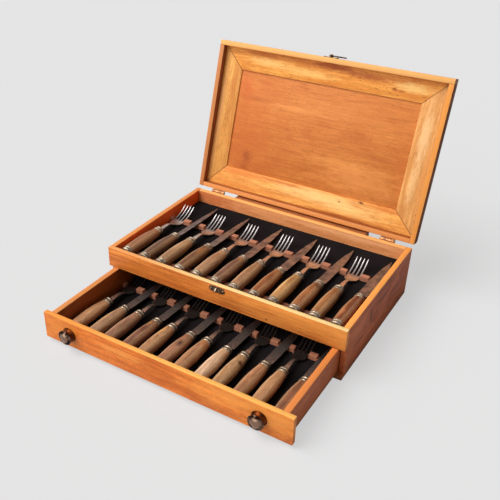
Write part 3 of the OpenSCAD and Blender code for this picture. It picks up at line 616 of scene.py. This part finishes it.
front_stains = lid_patches(0.01, (
    (-0.105, -0.1026, 0.05, 0.008, 0.7, "fcc878"), (-0.034, -0.097, 0.06, 0.008, 0.7, "fac672"),
    (-0.119, -0.1135, 0.05, 0.005, 0.75, "bc6020"), (0.013, -0.1134, 0.055, 0.007, 0.95, "a84c14"),
    (0.07, -0.108, 0.05, 0.006, 0.85, "ac541e"), (0.02, -0.089, 0.09, 0.004, 0.6, "de8232"),
    (0.14, -0.103, 0.04, 0.009, 0.7, "f8cc80"), (0.1112, -0.0969, 0.0055, 0.0035, 0.9, "8e3408"),
    (0.122, -0.0955, 0.012, 0.003, 0.7, "b4541a"), (0.0529, -0.1046, 0.004, 0.002, 0.8, "9c4412")))
frame_board("frame_front_board", "lid_frame_front", 0, 2 * rim_in_x, rim_in_y,
            wood("front frame wood", "f8ae50", "cc6c20", shut, (0.15, 0.1, 0.9),
                 figure=0.8, mottle=0.7, pores=0.8, patches=front_stains,
                 seams=[seam(-1, -1), seam(1, -1)]))
# The two palest marks on the right frame board are painted highlights; the rest are stains.
right_stains_and_highlights = lid_patches(0.01, (
    (0.1738, -0.037, 0.06, 0.01, 0.5, "eec690"), (0.172, 0.035, 0.05, 0.008, 0.45, "f0c68c"),
    (0.162, 0.02, 0.06, 0.004, 0.6, "c47c38"), (0.166, 0.085, 0.03, 0.007, 0.5, "b87038"),
    (0.186, 0.02, 0.09, 0.004, 0.6, "dc8c42"), (0.18, -0.085, 0.03, 0.007, 0.45, "c8863e")))
frame_board("frame_right_board", "lid_frame_right", 1, 2 * rim_in_y, rim_in_x,
            wood("right frame wood", "e6a862", "b8722f", shut_side, (0.5, 0.3, 0.2),
                 figure=0.8, mottle=0.5, pores=0.8, patches=right_stains_and_highlights,
                 seams=[seam(1, -1), seam(1, 1)]))
# The two palest marks on the back frame board, along its middle, are painted highlights; the rest are stains
# and knots.
back_stains_and_highlights = lid_patches(0.01, (
    (0.03, 0.096, 0.12, 0.012, 0.55, "fcd48a"), (0.085, 0.106, 0.07, 0.009, 0.55, "f8c87c"),
    (-0.1293, 0.0892, 0.07, 0.006, 0.65, "d46c22"), (-0.04, 0.088, 0.06, 0.003, 0.7, "c45c1a"),
    (0.145, 0.088, 0.05, 0.005, 0.7, "cc6c22"), (0.07, 0.117, 0.09, 0.0025, 0.85, "98400f"),
    (-0.1, 0.112, 0.09, 0.004, 0.6, "d87c30"), (0.0989, 0.0868, 0.006, 0.0028, 0.95, "641f08"),
    (0.0621, 0.094, 0.003, 0.002, 0.8, "8a3c14")))
frame_board("frame_back_board", "lid_frame_back", 2, 2 * rim_in_x, rim_in_y,
            wood("back frame wood", "f0aa52", "c87228", shut, (0.65, 0.7, 0.4),
                 figure=0.8, mottle=0.7, pores=0.7, patches=back_stains_and_highlights,
                 seams=[seam(1, 1), seam(-1, 1), (rim_joint, rim_across)]))
# The last, pale mark along the left frame board's outer edge is painted light that lifts the shadow cast by
# the rim; the others are stains.
left_stains_and_painted_light = lid_patches(0.01, (
    (-0.168, -0.06, 0.05, 0.005, 0.6, "c8702c"), (-0.16, 0.03, 0.08, 0.003, 0.6, "d27a30"),
    (-0.187, 0.0, 0.14, 0.006, 0.6, "f8b070")))
frame_board("frame_left_board", "lid_frame_left", 3, 2 * rim_in_y, rim_in_x,
            wood("left frame wood", "f4b25c", "c47830", shut_side, (0.9, 0.6, 0.7),
                 figure=0.8, mottle=0.6, pores=0.8, patches=left_stains_and_painted_light,
                 seams=[seam(-1, 1), seam(-1, -1)]))


# LID PANEL
# A thin panel of redder wood lies a little deeper than its frame.
# Its edges are held in the frame's grooves without glue.

tucked_in, panel_depth, below_top = 0.001, 0.0135, 0.0003
panel_under, panel_top = lid_under + panel_depth, lid_top - below_top
panel_x, panel_y = rim_in_x - frame_width + tucked_in, rim_in_y - frame_width + tucked_in
panel_stains = lid_patches(0.05, (
    (-0.13, 0.02, 0.09, 0.12, 0.5, "bc5c24"), (-0.1212, 0.06, 0.012, 0.016, 0.7, "98441a"),
    (-0.124, 0.078, 0.012, 0.005, 0.6, "9c4818"), (-0.1137, -0.0404, 0.03, 0.004, 0.6, "aa5420"),
    (-0.142, -0.058, 0.02, 0.02, 0.5, "c0561e"), (0.01, 0.014, 0.17, 0.003, 0.35, "b45822"),
    (-0.04, -0.02, 0.11, 0.003, 0.3, "b85a24"), (-0.0298, -0.0366, 0.08, 0.006, 0.5, "e8984e"),
    (0.06, 0.035, 0.09, 0.012, 0.45, "e8984c"), (0.1477, 0.04, 0.016, 0.045, 0.4, "c46a2c"),
    (0.09, 0.055, 0.09, 0.03, 0.45, "ee9a54"), (0.06, -0.045, 0.11, 0.02, 0.35, "dc8a44")))
panel = sawn_board("panel_board", (-panel_x, -panel_y, panel_under), (panel_x, panel_y, panel_top), 0.0004)
move(panel, opened)
finish_piece(panel, "lid",
             wood("panel wood", "d4823a", "b0581f", shut, (0.3, 0.9, 0.5),
                  figure=0.6, mottle=0.5, pores=0.7, patches=panel_stains))
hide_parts("lid_panel")


# LID HINGE LEAVES, LATCH PLATE AND HOOK
# The lid's fittings are stamped from browned brass plate and nailed on, as the case's are.
# The bent brass hook turns on the latch plate's stud.

dress("lid_hinges", pale_brass)
dress("latch_plate", metal("old brass", "8c6c48", "20140c", size=380.0, wear=1.0, gloss=0.3))
dress("lid_nails", nail_brass)
dress("latch_hook", metal("hook brass", "6a5038", "1c130c", size=420.0, wear=0.9, gloss=0.32))


# DRAWER
# The front board runs the case's full width; two sides, a back and a nailed bottom stand behind it.
# The front was sawn from the same board as the rail above it.

case_board("drawer_front_board", "drawer_front", "drawer",
           wood("drawer front wood", "e8822e", "a84c14", crosswise, (0, 0, 0.02),
                figure=0.9, mottle=0.6, pores=0.8, lit_face=("f8bc60", upwards, "ec9840"),
                patches=[((0.15, -0.275, 0.036), (0.14, 0.05, 0.026), 0.5, "f0a04a"),
                        ((-0.17, -0.275, 0.03), (0.05, 0.05, 0.03), 0.5, "e08c36"),
                        ((-0.06, -0.275, 0.034), (0.05, 0.05, 0.008), 0.5, "e49a48"),
                        ((0.0, -0.275, 0.014), (0.09, 0.05, 0.007), 0.45, "c05c18")]))
case_board("drawer_left_board", "drawer_left_side", "drawer",
           wood("drawer left wood", "a8561e", "6a2e0c", lengthwise, (0.7, 0.7, 0.1),
                lit_face=("dc8e4c", upwards)))
case_board("drawer_right_board", "drawer_right_side", "drawer",
           wood("drawer right wood", "cc7040", "84401e", lengthwise, (0.2, 0.4, 0.8),
                lit_face=("da8440", upwards)))
case_board("drawer_back_board", "drawer_back", "drawer",
           wood("drawer back wood", "b0683a", "7c4022", crosswise, (0.4, 0.2, 0.2)))
case_board("drawer_bottom_board", "drawer_bottom", "drawer",
           wood("drawer bottom wood", "b0683a", "7c4022", crosswise, (0.1, 0.6, 0.2)))
felt_sheet("drawer_felt_sheet", "drawer_felt", "drawer")
dress("drawer_blade_rack", rack_wood)
dress("drawer_grip_rack", grip_rack_wood)


# KNOBS
# Two turned knobs of dark bronze: a foot painted red-brown, a painted reflection of the wood behind it, a
# waist and a domed face inside a raised dark rim.
# A steel screw through the drawer's front holds each of them.

def turned(name, rings, centre=(0, 0, 0), swing=-90, segments=40):
    """Turned work: a round start whose end is drawn out ring by ring. A ring is (distance, radius).
    It is turned upright and swung about X, to lie along Y or against it."""
    alone()
    bpy.ops.mesh.primitive_circle_add(vertices=segments, radius=rings[0][1], fill_type="NGON",
                                      location=(0, 0, rings[0][0]))
    piece = begun(name)
    bpy.ops.mesh.select_all(action="SELECT")
    for before, (far, radius) in zip(rings, rings[1:]):
        bpy.ops.mesh.extrude_region_move(TRANSFORM_OT_translate={"value": (0, 0, far - before[0])})
        share = radius / before[1]
        bpy.ops.transform.resize(value=(share, share, 1), center_override=(0, 0, far))
    bpy.ops.mesh.select_all(action="SELECT")
    bpy.ops.mesh.normals_make_consistent(inside=False)
    move(piece, Matrix.Translation(centre) @ Matrix.Rotation(math.radians(swing), 4, "X"))
    return piece


knob_x, knob_height, drawer_face_y = 0.1535, 0.02795, -0.275
bronze = metal("knob bronze", "907260", "1e0e0a", size=160.0, wear=1.3, gloss=0.2, bump=0.08,
               polished=((0, -0.2862, 0), forwards))
# The foot's red-brown colour is a painted reflection of the orange drawer front.
foot_reflection_bronze = metal("knob foot bronze", "6a3214", "1c0a04", size=160.0, wear=0.8, gloss=0.4, bump=0.08)
foot_depth = 0.0066
knob_rings = [
    (0.0, 0.011), (0.0004, 0.0113), (0.001, 0.0113), (0.0015, 0.0108), (0.002, 0.0101), (0.003, 0.0091),
    (0.0042, 0.0083), (0.0054, 0.0079), (0.0064, 0.0081), (0.0072, 0.009), (0.0079, 0.0102),
    (0.0086, 0.0111), (0.0092, 0.0114), (0.0098, 0.0114), (0.0103, 0.011), (0.0104, 0.0103),
    (0.0098, 0.0096), (0.0097, 0.0092), (0.0105, 0.0083), (0.0115, 0.0069), (0.0124, 0.0052),
    (0.0131, 0.0033), (0.0135, 0.0016), (0.0136, 0.0001)]
for side, x in (("left", -knob_x), ("right", knob_x)):
    knob = turned("knob_" + side, knob_rings, (x, drawer_face_y, knob_height), swing=90, segments=56)
    finish_piece(knob, "drawer", bronze, 50)
    knob.data.materials.append(foot_reflection_bronze)
    for face in knob.data.polygons:
        if face.center.y > drawer_face_y - foot_depth:
            face.material_index = 1
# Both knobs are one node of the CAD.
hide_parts("drawer_knobs")
dress("knob_screws", metal("screw steel", "b8b4ae", "5c5852", size=500.0, wear=0.6, gloss=0.3))


# HANDLES
# Every fork and knife has a turned wooden grip between a ringed metal cap and a double-ringed ferrule.
# They are modelled once, lying along Y with the butt at the origin, and copied.

pewter = metal("cap metal", "b6a48e", "3a2c22", size=300.0, wear=0.8, gloss=0.32)
cap_rings = [
    (0.0, 0.0035), (0.0002, 0.0058), (0.0008, 0.0078), (0.0015, 0.0085), (0.0024, 0.0088), (0.0034, 0.0087),
    (0.0041, 0.0081), (0.0045, 0.0076), (0.005, 0.0076), (0.0054, 0.0083), (0.006, 0.009),
    (0.0072, 0.0092), (0.0084, 0.0092), (0.0092, 0.0089), (0.0096, 0.0086), (0.0096, 0.002)]
grip_rings = [
    (0.00955, 0.003), (0.00955, 0.0087), (0.01, 0.0089), (0.015, 0.0091), (0.022, 0.0093),
    (0.03, 0.0096), (0.036, 0.0098), (0.042, 0.0099), (0.048, 0.0099), (0.054, 0.0097), (0.06, 0.0094),
    (0.066, 0.009), (0.072, 0.0084), (0.077, 0.0079), (0.0808, 0.0075), (0.0818, 0.0073), (0.082, 0.002)]
ferrule_rings = [
    (0.0819, 0.002), (0.0819, 0.0075), (0.0824, 0.0079), (0.0834, 0.0082), (0.0848, 0.0082),
    (0.0858, 0.0078), (0.0864, 0.007), (0.0868, 0.0062), (0.088, 0.0062), (0.0884, 0.007),
    (0.0892, 0.0076), (0.0902, 0.0077), (0.0911, 0.0073), (0.0918, 0.0064), (0.0928, 0.0058),
    (0.0939, 0.0053), (0.094, 0.002)]


def joined(parts, name):
    """Parts made one piece, each keeping its own finish."""
    hold(parts[0])
    for part in parts[1:]:
        part.select_set(True)
    bpy.ops.object.join()
    parts[0].name = name
    return parts[0]


grip_blank = wood("grip blank", "a9794e", "6e452a", lengthwise)
cap = painted(turned("cap", cap_rings), pewter)
grip = painted(turned("grip", grip_rings), grip_blank)
ferrule = painted(turned("ferrule", ferrule_rings), pewter)
handle = joined([cap, grip, ferrule], "handle")


# KNIFE BLADES
# A blade is ground from thin steel sheet: a straight back on the left, a belly on the right.
# Its tang runs through the ferrule and is fixed in the grip.

def stretch_bar(before, row):
    """Draws the chosen end out by a row: (distance, left, right, height, thickness)."""
    far, left, right, height, thick = row
    middle = (left + right) / 2
    step = (middle - (before[1] + before[2]) / 2, far - before[0], height - before[3])
    bpy.ops.mesh.extrude_region_move(TRANSFORM_OT_translate={"value": step})
    bpy.ops.transform.resize(value=((right - left) / (before[2] - before[1]), 1, thick / before[4]),
                             center_override=(middle, far, height))


def drawn_out(name, start, columns, rows):
    """A bar, so many columns wide, whose far end is drawn out row by row."""
    far, left, right, height, thick = rows[0]
    piece = block(name, (left, start, height - thick / 2), (right, far, height + thick / 2))
    pick("EDGE", lambda c: left + hair < c.x < right - hair)
    bpy.ops.mesh.subdivide(number_cuts=columns - 1)
    pick("FACE", lambda c: c.y > far - hair)
    for before, row in zip(rows, rows[1:]):
        stretch_bar(before, row)
    return piece


steel = metal("blade steel", "9c8e86", "5e4c44", size=70.0, wear=0.8, gloss=0.3, bump=0.05, bare=0.92)
in_ferrule = 0.093
blade_rows = [
    (0.094, -0.0055, 0.005, 0, 0.0018), (0.0948, -0.0062, 0.006, 0, 0.0018),
    (0.096, -0.0069, 0.0069, 0, 0.0018), (0.0972, -0.0072, 0.0073, 0, 0.0018),
    (0.107, -0.0071, 0.0078, 0, 0.0018), (0.119, -0.0069, 0.008, 0, 0.00175),
    (0.144, -0.0066, 0.0081, 0, 0.0017), (0.156, -0.0059, 0.008, 0, 0.0016),
    (0.17, -0.005, 0.0076, 0, 0.0015), (0.186, -0.0039, 0.0065, 0, 0.0014),
    (0.1985, -0.002, 0.005, 0, 0.0013), (0.2075, -0.0004, 0.0036, 0, 0.0012),
    (0.214, 0.0006, 0.0025, 0, 0.0011), (0.2176, 0.0012, 0.0018, 0, 0.0009)]
blade = drawn_out("blade", in_ferrule, 5, blade_rows)
# The belly is ground: the blade thins from the ridge on, down to a fifth at its edge.
ridge, ground_off = 0.3, 0.8
mesh = bmesh.from_edit_mesh(blade.data)
for point in mesh.verts:
    far = max(point.co.y, blade_rows[0][0])
    for near_row, far_row in zip(blade_rows, blade_rows[1:]):
        if near_row[0] <= far <= far_row[0] + hair:
            share = (far - near_row[0]) / (far_row[0] - near_row[0])
            left = near_row[1] + share * (far_row[1] - near_row[1])
            right = near_row[2] + share * (far_row[2] - near_row[2])
            across = (point.co.x - left) / (right - left)
            point.co.z *= 1 - ground_off * max(0.0, (across - ridge) / (1 - ridge))
            break
bmesh.update_edit_mesh(blade.data)
painted(blade, steel)


# FORKS
# A fork is pressed from steel bar: a narrow neck, a dished head and four tapering tines.
# Its tang is fixed in the grip as a knife's is.

# One steel in three colours: neck and head warmer, a painted reflection of the wood around them; tines
# greyer; and a darker copy, painted shade, for the drawer's fork heads and tines.
fork_steel = metal("fork steel", "d6c6b8", "8c7666", size=90.0, wear=0.5, gloss=0.28, bump=0.05)
tine_steel = metal("tine steel", "aea8a6", "706864", size=90.0, wear=0.5, gloss=0.28, bump=0.05)
painted_shade_steel = metal("painted shade steel", "7a7068", "3a322c", size=90.0, wear=0.8, gloss=0.3, bump=0.05)
bend_start, fork_tip = 0.118, 0.181
heel_depth, tip_height = 0.0063, 0.0095


def fork_height(y):
    """The side curve: level at the neck, down to the heel and up to the tips, all in one parabola."""
    u = (y - bend_start) / (fork_tip - bend_start)
    if u < 0:
        return 0.0
    fall = -2 * (heel_depth + math.sqrt(heel_depth ** 2 + heel_depth * tip_height))
    return fall * u + (tip_height - fall) * u * u


def fork_row(y, half, thick):
    """A row of the head, as wide to the left as to the right."""
    return (y, -half, half, fork_height(y), thick)


neck_rows = [fork_row(y, half, thick) for y, half, thick in (
    (0.094, 0.004, 0.0038), (0.0975, 0.0037, 0.0038), (0.1015, 0.0034, 0.0038), (0.106, 0.0031, 0.0036),
    (0.111, 0.0028, 0.0034), (0.115, 0.0026, 0.0031), (0.119, 0.0025, 0.0028), (0.1225, 0.0026, 0.0025),
    (0.125, 0.003, 0.0023), (0.1268, 0.0038, 0.0021), (0.1282, 0.005, 0.002), (0.1296, 0.0064, 0.0019),
    (0.1312, 0.0078, 0.0018), (0.1332, 0.009, 0.0018), (0.1356, 0.0098, 0.0018), (0.1385, 0.0102, 0.0018),
    (0.1415, 0.0103, 0.0018), (0.145, 0.0103, 0.0018), (0.149, 0.0103, 0.0018))]
fork_half, tine_half, tine_start, tine_thick = 0.0103, 0.00125, 0.149, 0.0018
columns = 14
fork = drawn_out("fork", in_ferrule, columns, neck_rows)
tine_pitch = 2 * (fork_half - tine_half) / 3
tine_middles = [i * tine_pitch for i in (-1.5, -0.5, 0.5, 1.5)]
# Near the tines, the lines along the head move to the tines' sides and middles and the gaps' middles.
places = sorted([m + side for m in tine_middles for side in (-tine_half, 0.0, tine_half)]
                + [-tine_pitch, 0.0, tine_pitch])
evenly = [-fork_half + 2 * fork_half * k / columns for k in range(columns + 1)]
last_rows_from, move_start, move_length = 0.144, 0.141, 0.008
bpy.ops.mesh.select_all(action="DESELECT")
mesh = bmesh.from_edit_mesh(fork.data)
for point in mesh.verts:
    if point.co.y > last_rows_from:
        at = min(range(columns + 1), key=lambda k: abs(point.co.x - evenly[k]))
        point.co.x += min(1.0, (point.co.y - move_start) / move_length) * (places[at] - point.co.x)
bmesh.update_edit_mesh(fork.data)
# Each tine is drawn out from its share of the head's end: distance, lean inwards, half width, thickness.
tine_rows = [
    (tine_start, 1, tine_half, tine_thick), (0.1505, 1, 0.00112, 0.0018), (0.154, 1, 0.00106, 0.0018),
    (0.159, 0.995, 0.00102, 0.0018), (0.1635, 0.99, 0.00099, 0.0018), (0.168, 0.985, 0.00096, 0.0017),
    (0.1725, 0.98, 0.00092, 0.0016), (0.176, 0.98, 0.00086, 0.0015), (0.1785, 0.975, 0.0007, 0.0013),
    (0.18, 0.97, 0.00048, 0.001), (0.181, 0.97, 0.00028, 0.0007)]
for middle in tine_middles:
    pick("FACE", lambda c: c.y > tine_start - hair and abs(c.x - middle) < tine_half)
    rows = [(y, middle * lean - half, middle * lean + half, fork_height(y), thick)
            for y, lean, half, thick in tine_rows]
    for before, row in zip(rows, rows[1:]):
        stretch_bar(before, row)
hold(fork)
round_edges = fork.modifiers.new("rounded edges", "BEVEL")
round_edges.width, round_edges.segments, round_edges.limit_method = 0.0004, 2, "ANGLE"
round_edges.angle_limit = math.radians(50)
bpy.ops.object.modifier_apply(modifier="rounded edges")
painted(fork, fork_steel)
fork.data.materials.append(tine_steel)
fork.data.materials.append(painted_shade_steel)
tines_from, head_from = 0.1445, 0.124
for face in fork.data.polygons:
    if face.center.y > tines_from:
        face.material_index = 1
    elif face.center.y > head_from:
        face.material_index = 2


# CUTLERY IN ITS PLACES
# Six forks and six knives lie side by side in the tray and again in the drawer.
# Every grip is turned from its own piece of wood, so colours run from pale tan to dark brown.

def grip_wood(name, pale, dark, shift, patches):
    """Wood with finer figure than the boards', and a little more varnish."""
    return wood(name, pale, dark, lengthwise, shift, figure=1.0, mottle=0.7, pores=0.8, coat=0.12,
                patches=patches, fine=2.2)


# Pale and dark colour of each grip, from left to right.
tray_grips = [
    ("b77c54", "704532"), ("815d48", "442b21"), ("c99c6f", "7e573e"), ("8f5e3e", "46291a"),
    ("ce9f76", "865a3f"), ("865b47", "482c22"), ("be8b62", "744d35"), ("a8673c", "5d2f19"),
    ("d09a61", "85582f"), ("b47243", "62331d"), ("b57847", "683e22"), ("914e2d", "491f10")]
# The drawer's grips are painted paler than their wood: painted light that makes up for the shade they lie
# in.
drawer_grips_lightened = [
    ("e2a777", "8b5b3d"), ("c99b74", "7a543e"), ("b27f61", "6a4637"), ("9e6950", "563428"),
    ("d29c6e", "835639"), ("b77e5d", "674233"), ("c88e64", "784e35"), ("facda8", "ac8462"),
    ("d0a175", "7f5837"), ("c78a60", "794e33"), ("d0996e", "885c36"), ("9f674a", "5a3822")]
# Knots and odd patches: piece, place from the butt, reach along, across and through, depth, colour.
grip_stains = [
    ("drawer_fork_5", 0.006, 0.066, 0.003, (0.006, 0.005, 0.01), 0.9, "4a2008"),
    ("drawer_fork_5", -0.003, 0.045, 0.006, (0.004, 0.002, 0.01), 0.9, "8c4a14"),
    ("drawer_fork_5", 0.0, 0.03, 0.006, (0.02, 0.003, 0.02), 0.5, "a0682c"),
    ("drawer_knife_4", 0.004, 0.072, 0.004, (0.014, 0.008, 0.02), 0.5, "c08850"),
    ("drawer_knife_2", 0.0, 0.055, 0.006, (0.012, 0.006, 0.02), 0.8, "4e2a16"),
    ("drawer_knife_2", -0.002, 0.074, 0.004, (0.007, 0.005, 0.02), 0.7, "b07a34"),
    ("drawer_knife_3", 0.003, 0.056, 0.006, (0.01, 0.004, 0.02), 0.85, "2c140e"),
    ("drawer_knife_3", -0.004, 0.07, 0.004, (0.014, 0.003, 0.02), 0.6, "8c4c30"),
    ("drawer_fork_3", -0.003, 0.066, 0.005, (0.016, 0.004, 0.02), 0.65, "dca458"),
    ("drawer_fork_3", 0.001, 0.05, 0.008, (0.004, 0.002, 0.01), 0.8, "5a3416"),
    ("drawer_fork_3", -0.002, 0.034, 0.008, (0.005, 0.002, 0.01), 0.7, "643c1c"),
    ("drawer_fork_2", 0.003, 0.05, 0.006, (0.02, 0.003, 0.02), 0.6, "6e4230"),
    ("drawer_knife_1", -0.003, 0.045, 0.006, (0.022, 0.003, 0.02), 0.6, "cc9866"),
    ("tray_knife_4", 0.002, 0.05, 0.006, (0.02, 0.003, 0.02), 0.6, "763c1c"),
    ("tray_fork_4", -0.002, 0.06, 0.006, (0.008, 0.003, 0.02), 0.6, "6a4430"),
    ("tray_fork_5", -0.004, 0.045, 0.006, (0.026, 0.003, 0.02), 0.6, "eabc7c"),
    ("drawer_fork_4", 0.004, 0.075, 0.004, (0.012, 0.008, 0.02), 0.6, "b46a38"),
    ("tray_fork_6", 0.002, 0.07, 0.004, (0.014, 0.006, 0.02), 0.6, "7c4420"),
    ("tray_knife_5", 0.003, 0.074, 0.004, (0.008, 0.006, 0.02), 0.8, "3c1c0c"),
    ("tray_knife_6", 0.0, 0.05, 0.006, (0.018, 0.004, 0.02), 0.7, "5a2a14"),
    ("tray_knife_6", -0.003, 0.03, 0.006, (0.012, 0.004, 0.02), 0.6, "c07a4c"),
    ("tray_knife_2", 0.002, 0.06, 0.005, (0.016, 0.004, 0.02), 0.6, "b06a34"),
    ("tray_knife_3", 0.0, 0.078, 0.004, (0.008, 0.006, 0.02), 0.6, "b8743c"),
    ("tray_fork_3", 0.002, 0.06, 0.005, (0.018, 0.004, 0.02), 0.5, "8c5228")]


def lay(name, node, body, source_parts, x, butt_y, axis_z, tilt, roll, material):
    """Copies a fork or knife onto its racks, its point tipped down by tilt and its steel to the left by
    roll. In the tray a fork's head is as bright as its neck; in the drawer head and tines get painted shade,
    a darker copy of the steel."""
    parts = []
    for source in source_parts:
        copy = bpy.data.objects.new(name, source.data.copy())
        bpy.context.scene.collection.objects.link(copy)
        parts.append(copy)
    piece = joined(parts, name)
    for i, held in enumerate(piece.data.materials):
        if held == grip_blank:
            piece.data.materials[i] = material
        elif held == painted_shade_steel and body != "drawer":
            piece.data.materials[i] = fork_steel
        elif held == tine_steel and body == "drawer":
            piece.data.materials[i] = painted_shade_steel
    move(piece, Matrix.Translation((x, butt_y, axis_z)) @ Matrix.Rotation(math.radians(-tilt), 4, "X")
         @ Matrix.Rotation(math.radians(-roll), 4, "Y"))
    finish_piece(piece, body, None, 40)
    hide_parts(node)


# Forks and knives slope by so many degrees from butt to point, and a rolled knife a little less.
tilts, less_when_rolled = {"fork": 1.6, "knife": 2.9}, 0.03
rolls = {"tray": (20, 14, 8, 4, 2, 0), "drawer": (10, 12, 10, 8, 6, 4)}
for layer, butt_y, axis_z, grips in (("tray", -0.1155, 0.075, tray_grips),
                                     ("drawer", -0.2635, 0.0229, drawer_grips_lightened)):
    for i in range(6):
        for kind, head, row_shift in (("fork", fork, 0.3), ("knife", blade, 0.8)):
            node = "%s_%s_%d" % (layer, kind, i + 1)
            body = "loose_%s_%d" % (kind, i + 1) if layer == "tray" else "drawer"
            low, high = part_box(node)
            pale, dark = grips[2 * i + (kind == "knife")]
            x = (low.x + high.x) / 2
            patches = [((x + dx, butt_y + dy, axis_z + dz), reach, depth, patch_colour)
                      for where, dx, dy, dz, reach, depth, patch_colour in grip_stains if where == node]
            roll = rolls[layer][i] if kind == "knife" else 0
            shift = (0.31 * i, row_shift, 0.2)
            material = grip_wood(node.replace("_", " ") + " grip", pale, dark, shift, patches)
            lay(node + "_dressed", node, body, [handle, head], x, butt_y, axis_z,
                tilts[kind] - less_when_rolled * roll, roll, material)
for pattern in (handle, blade, fork):
    bpy.data.objects.remove(pattern)
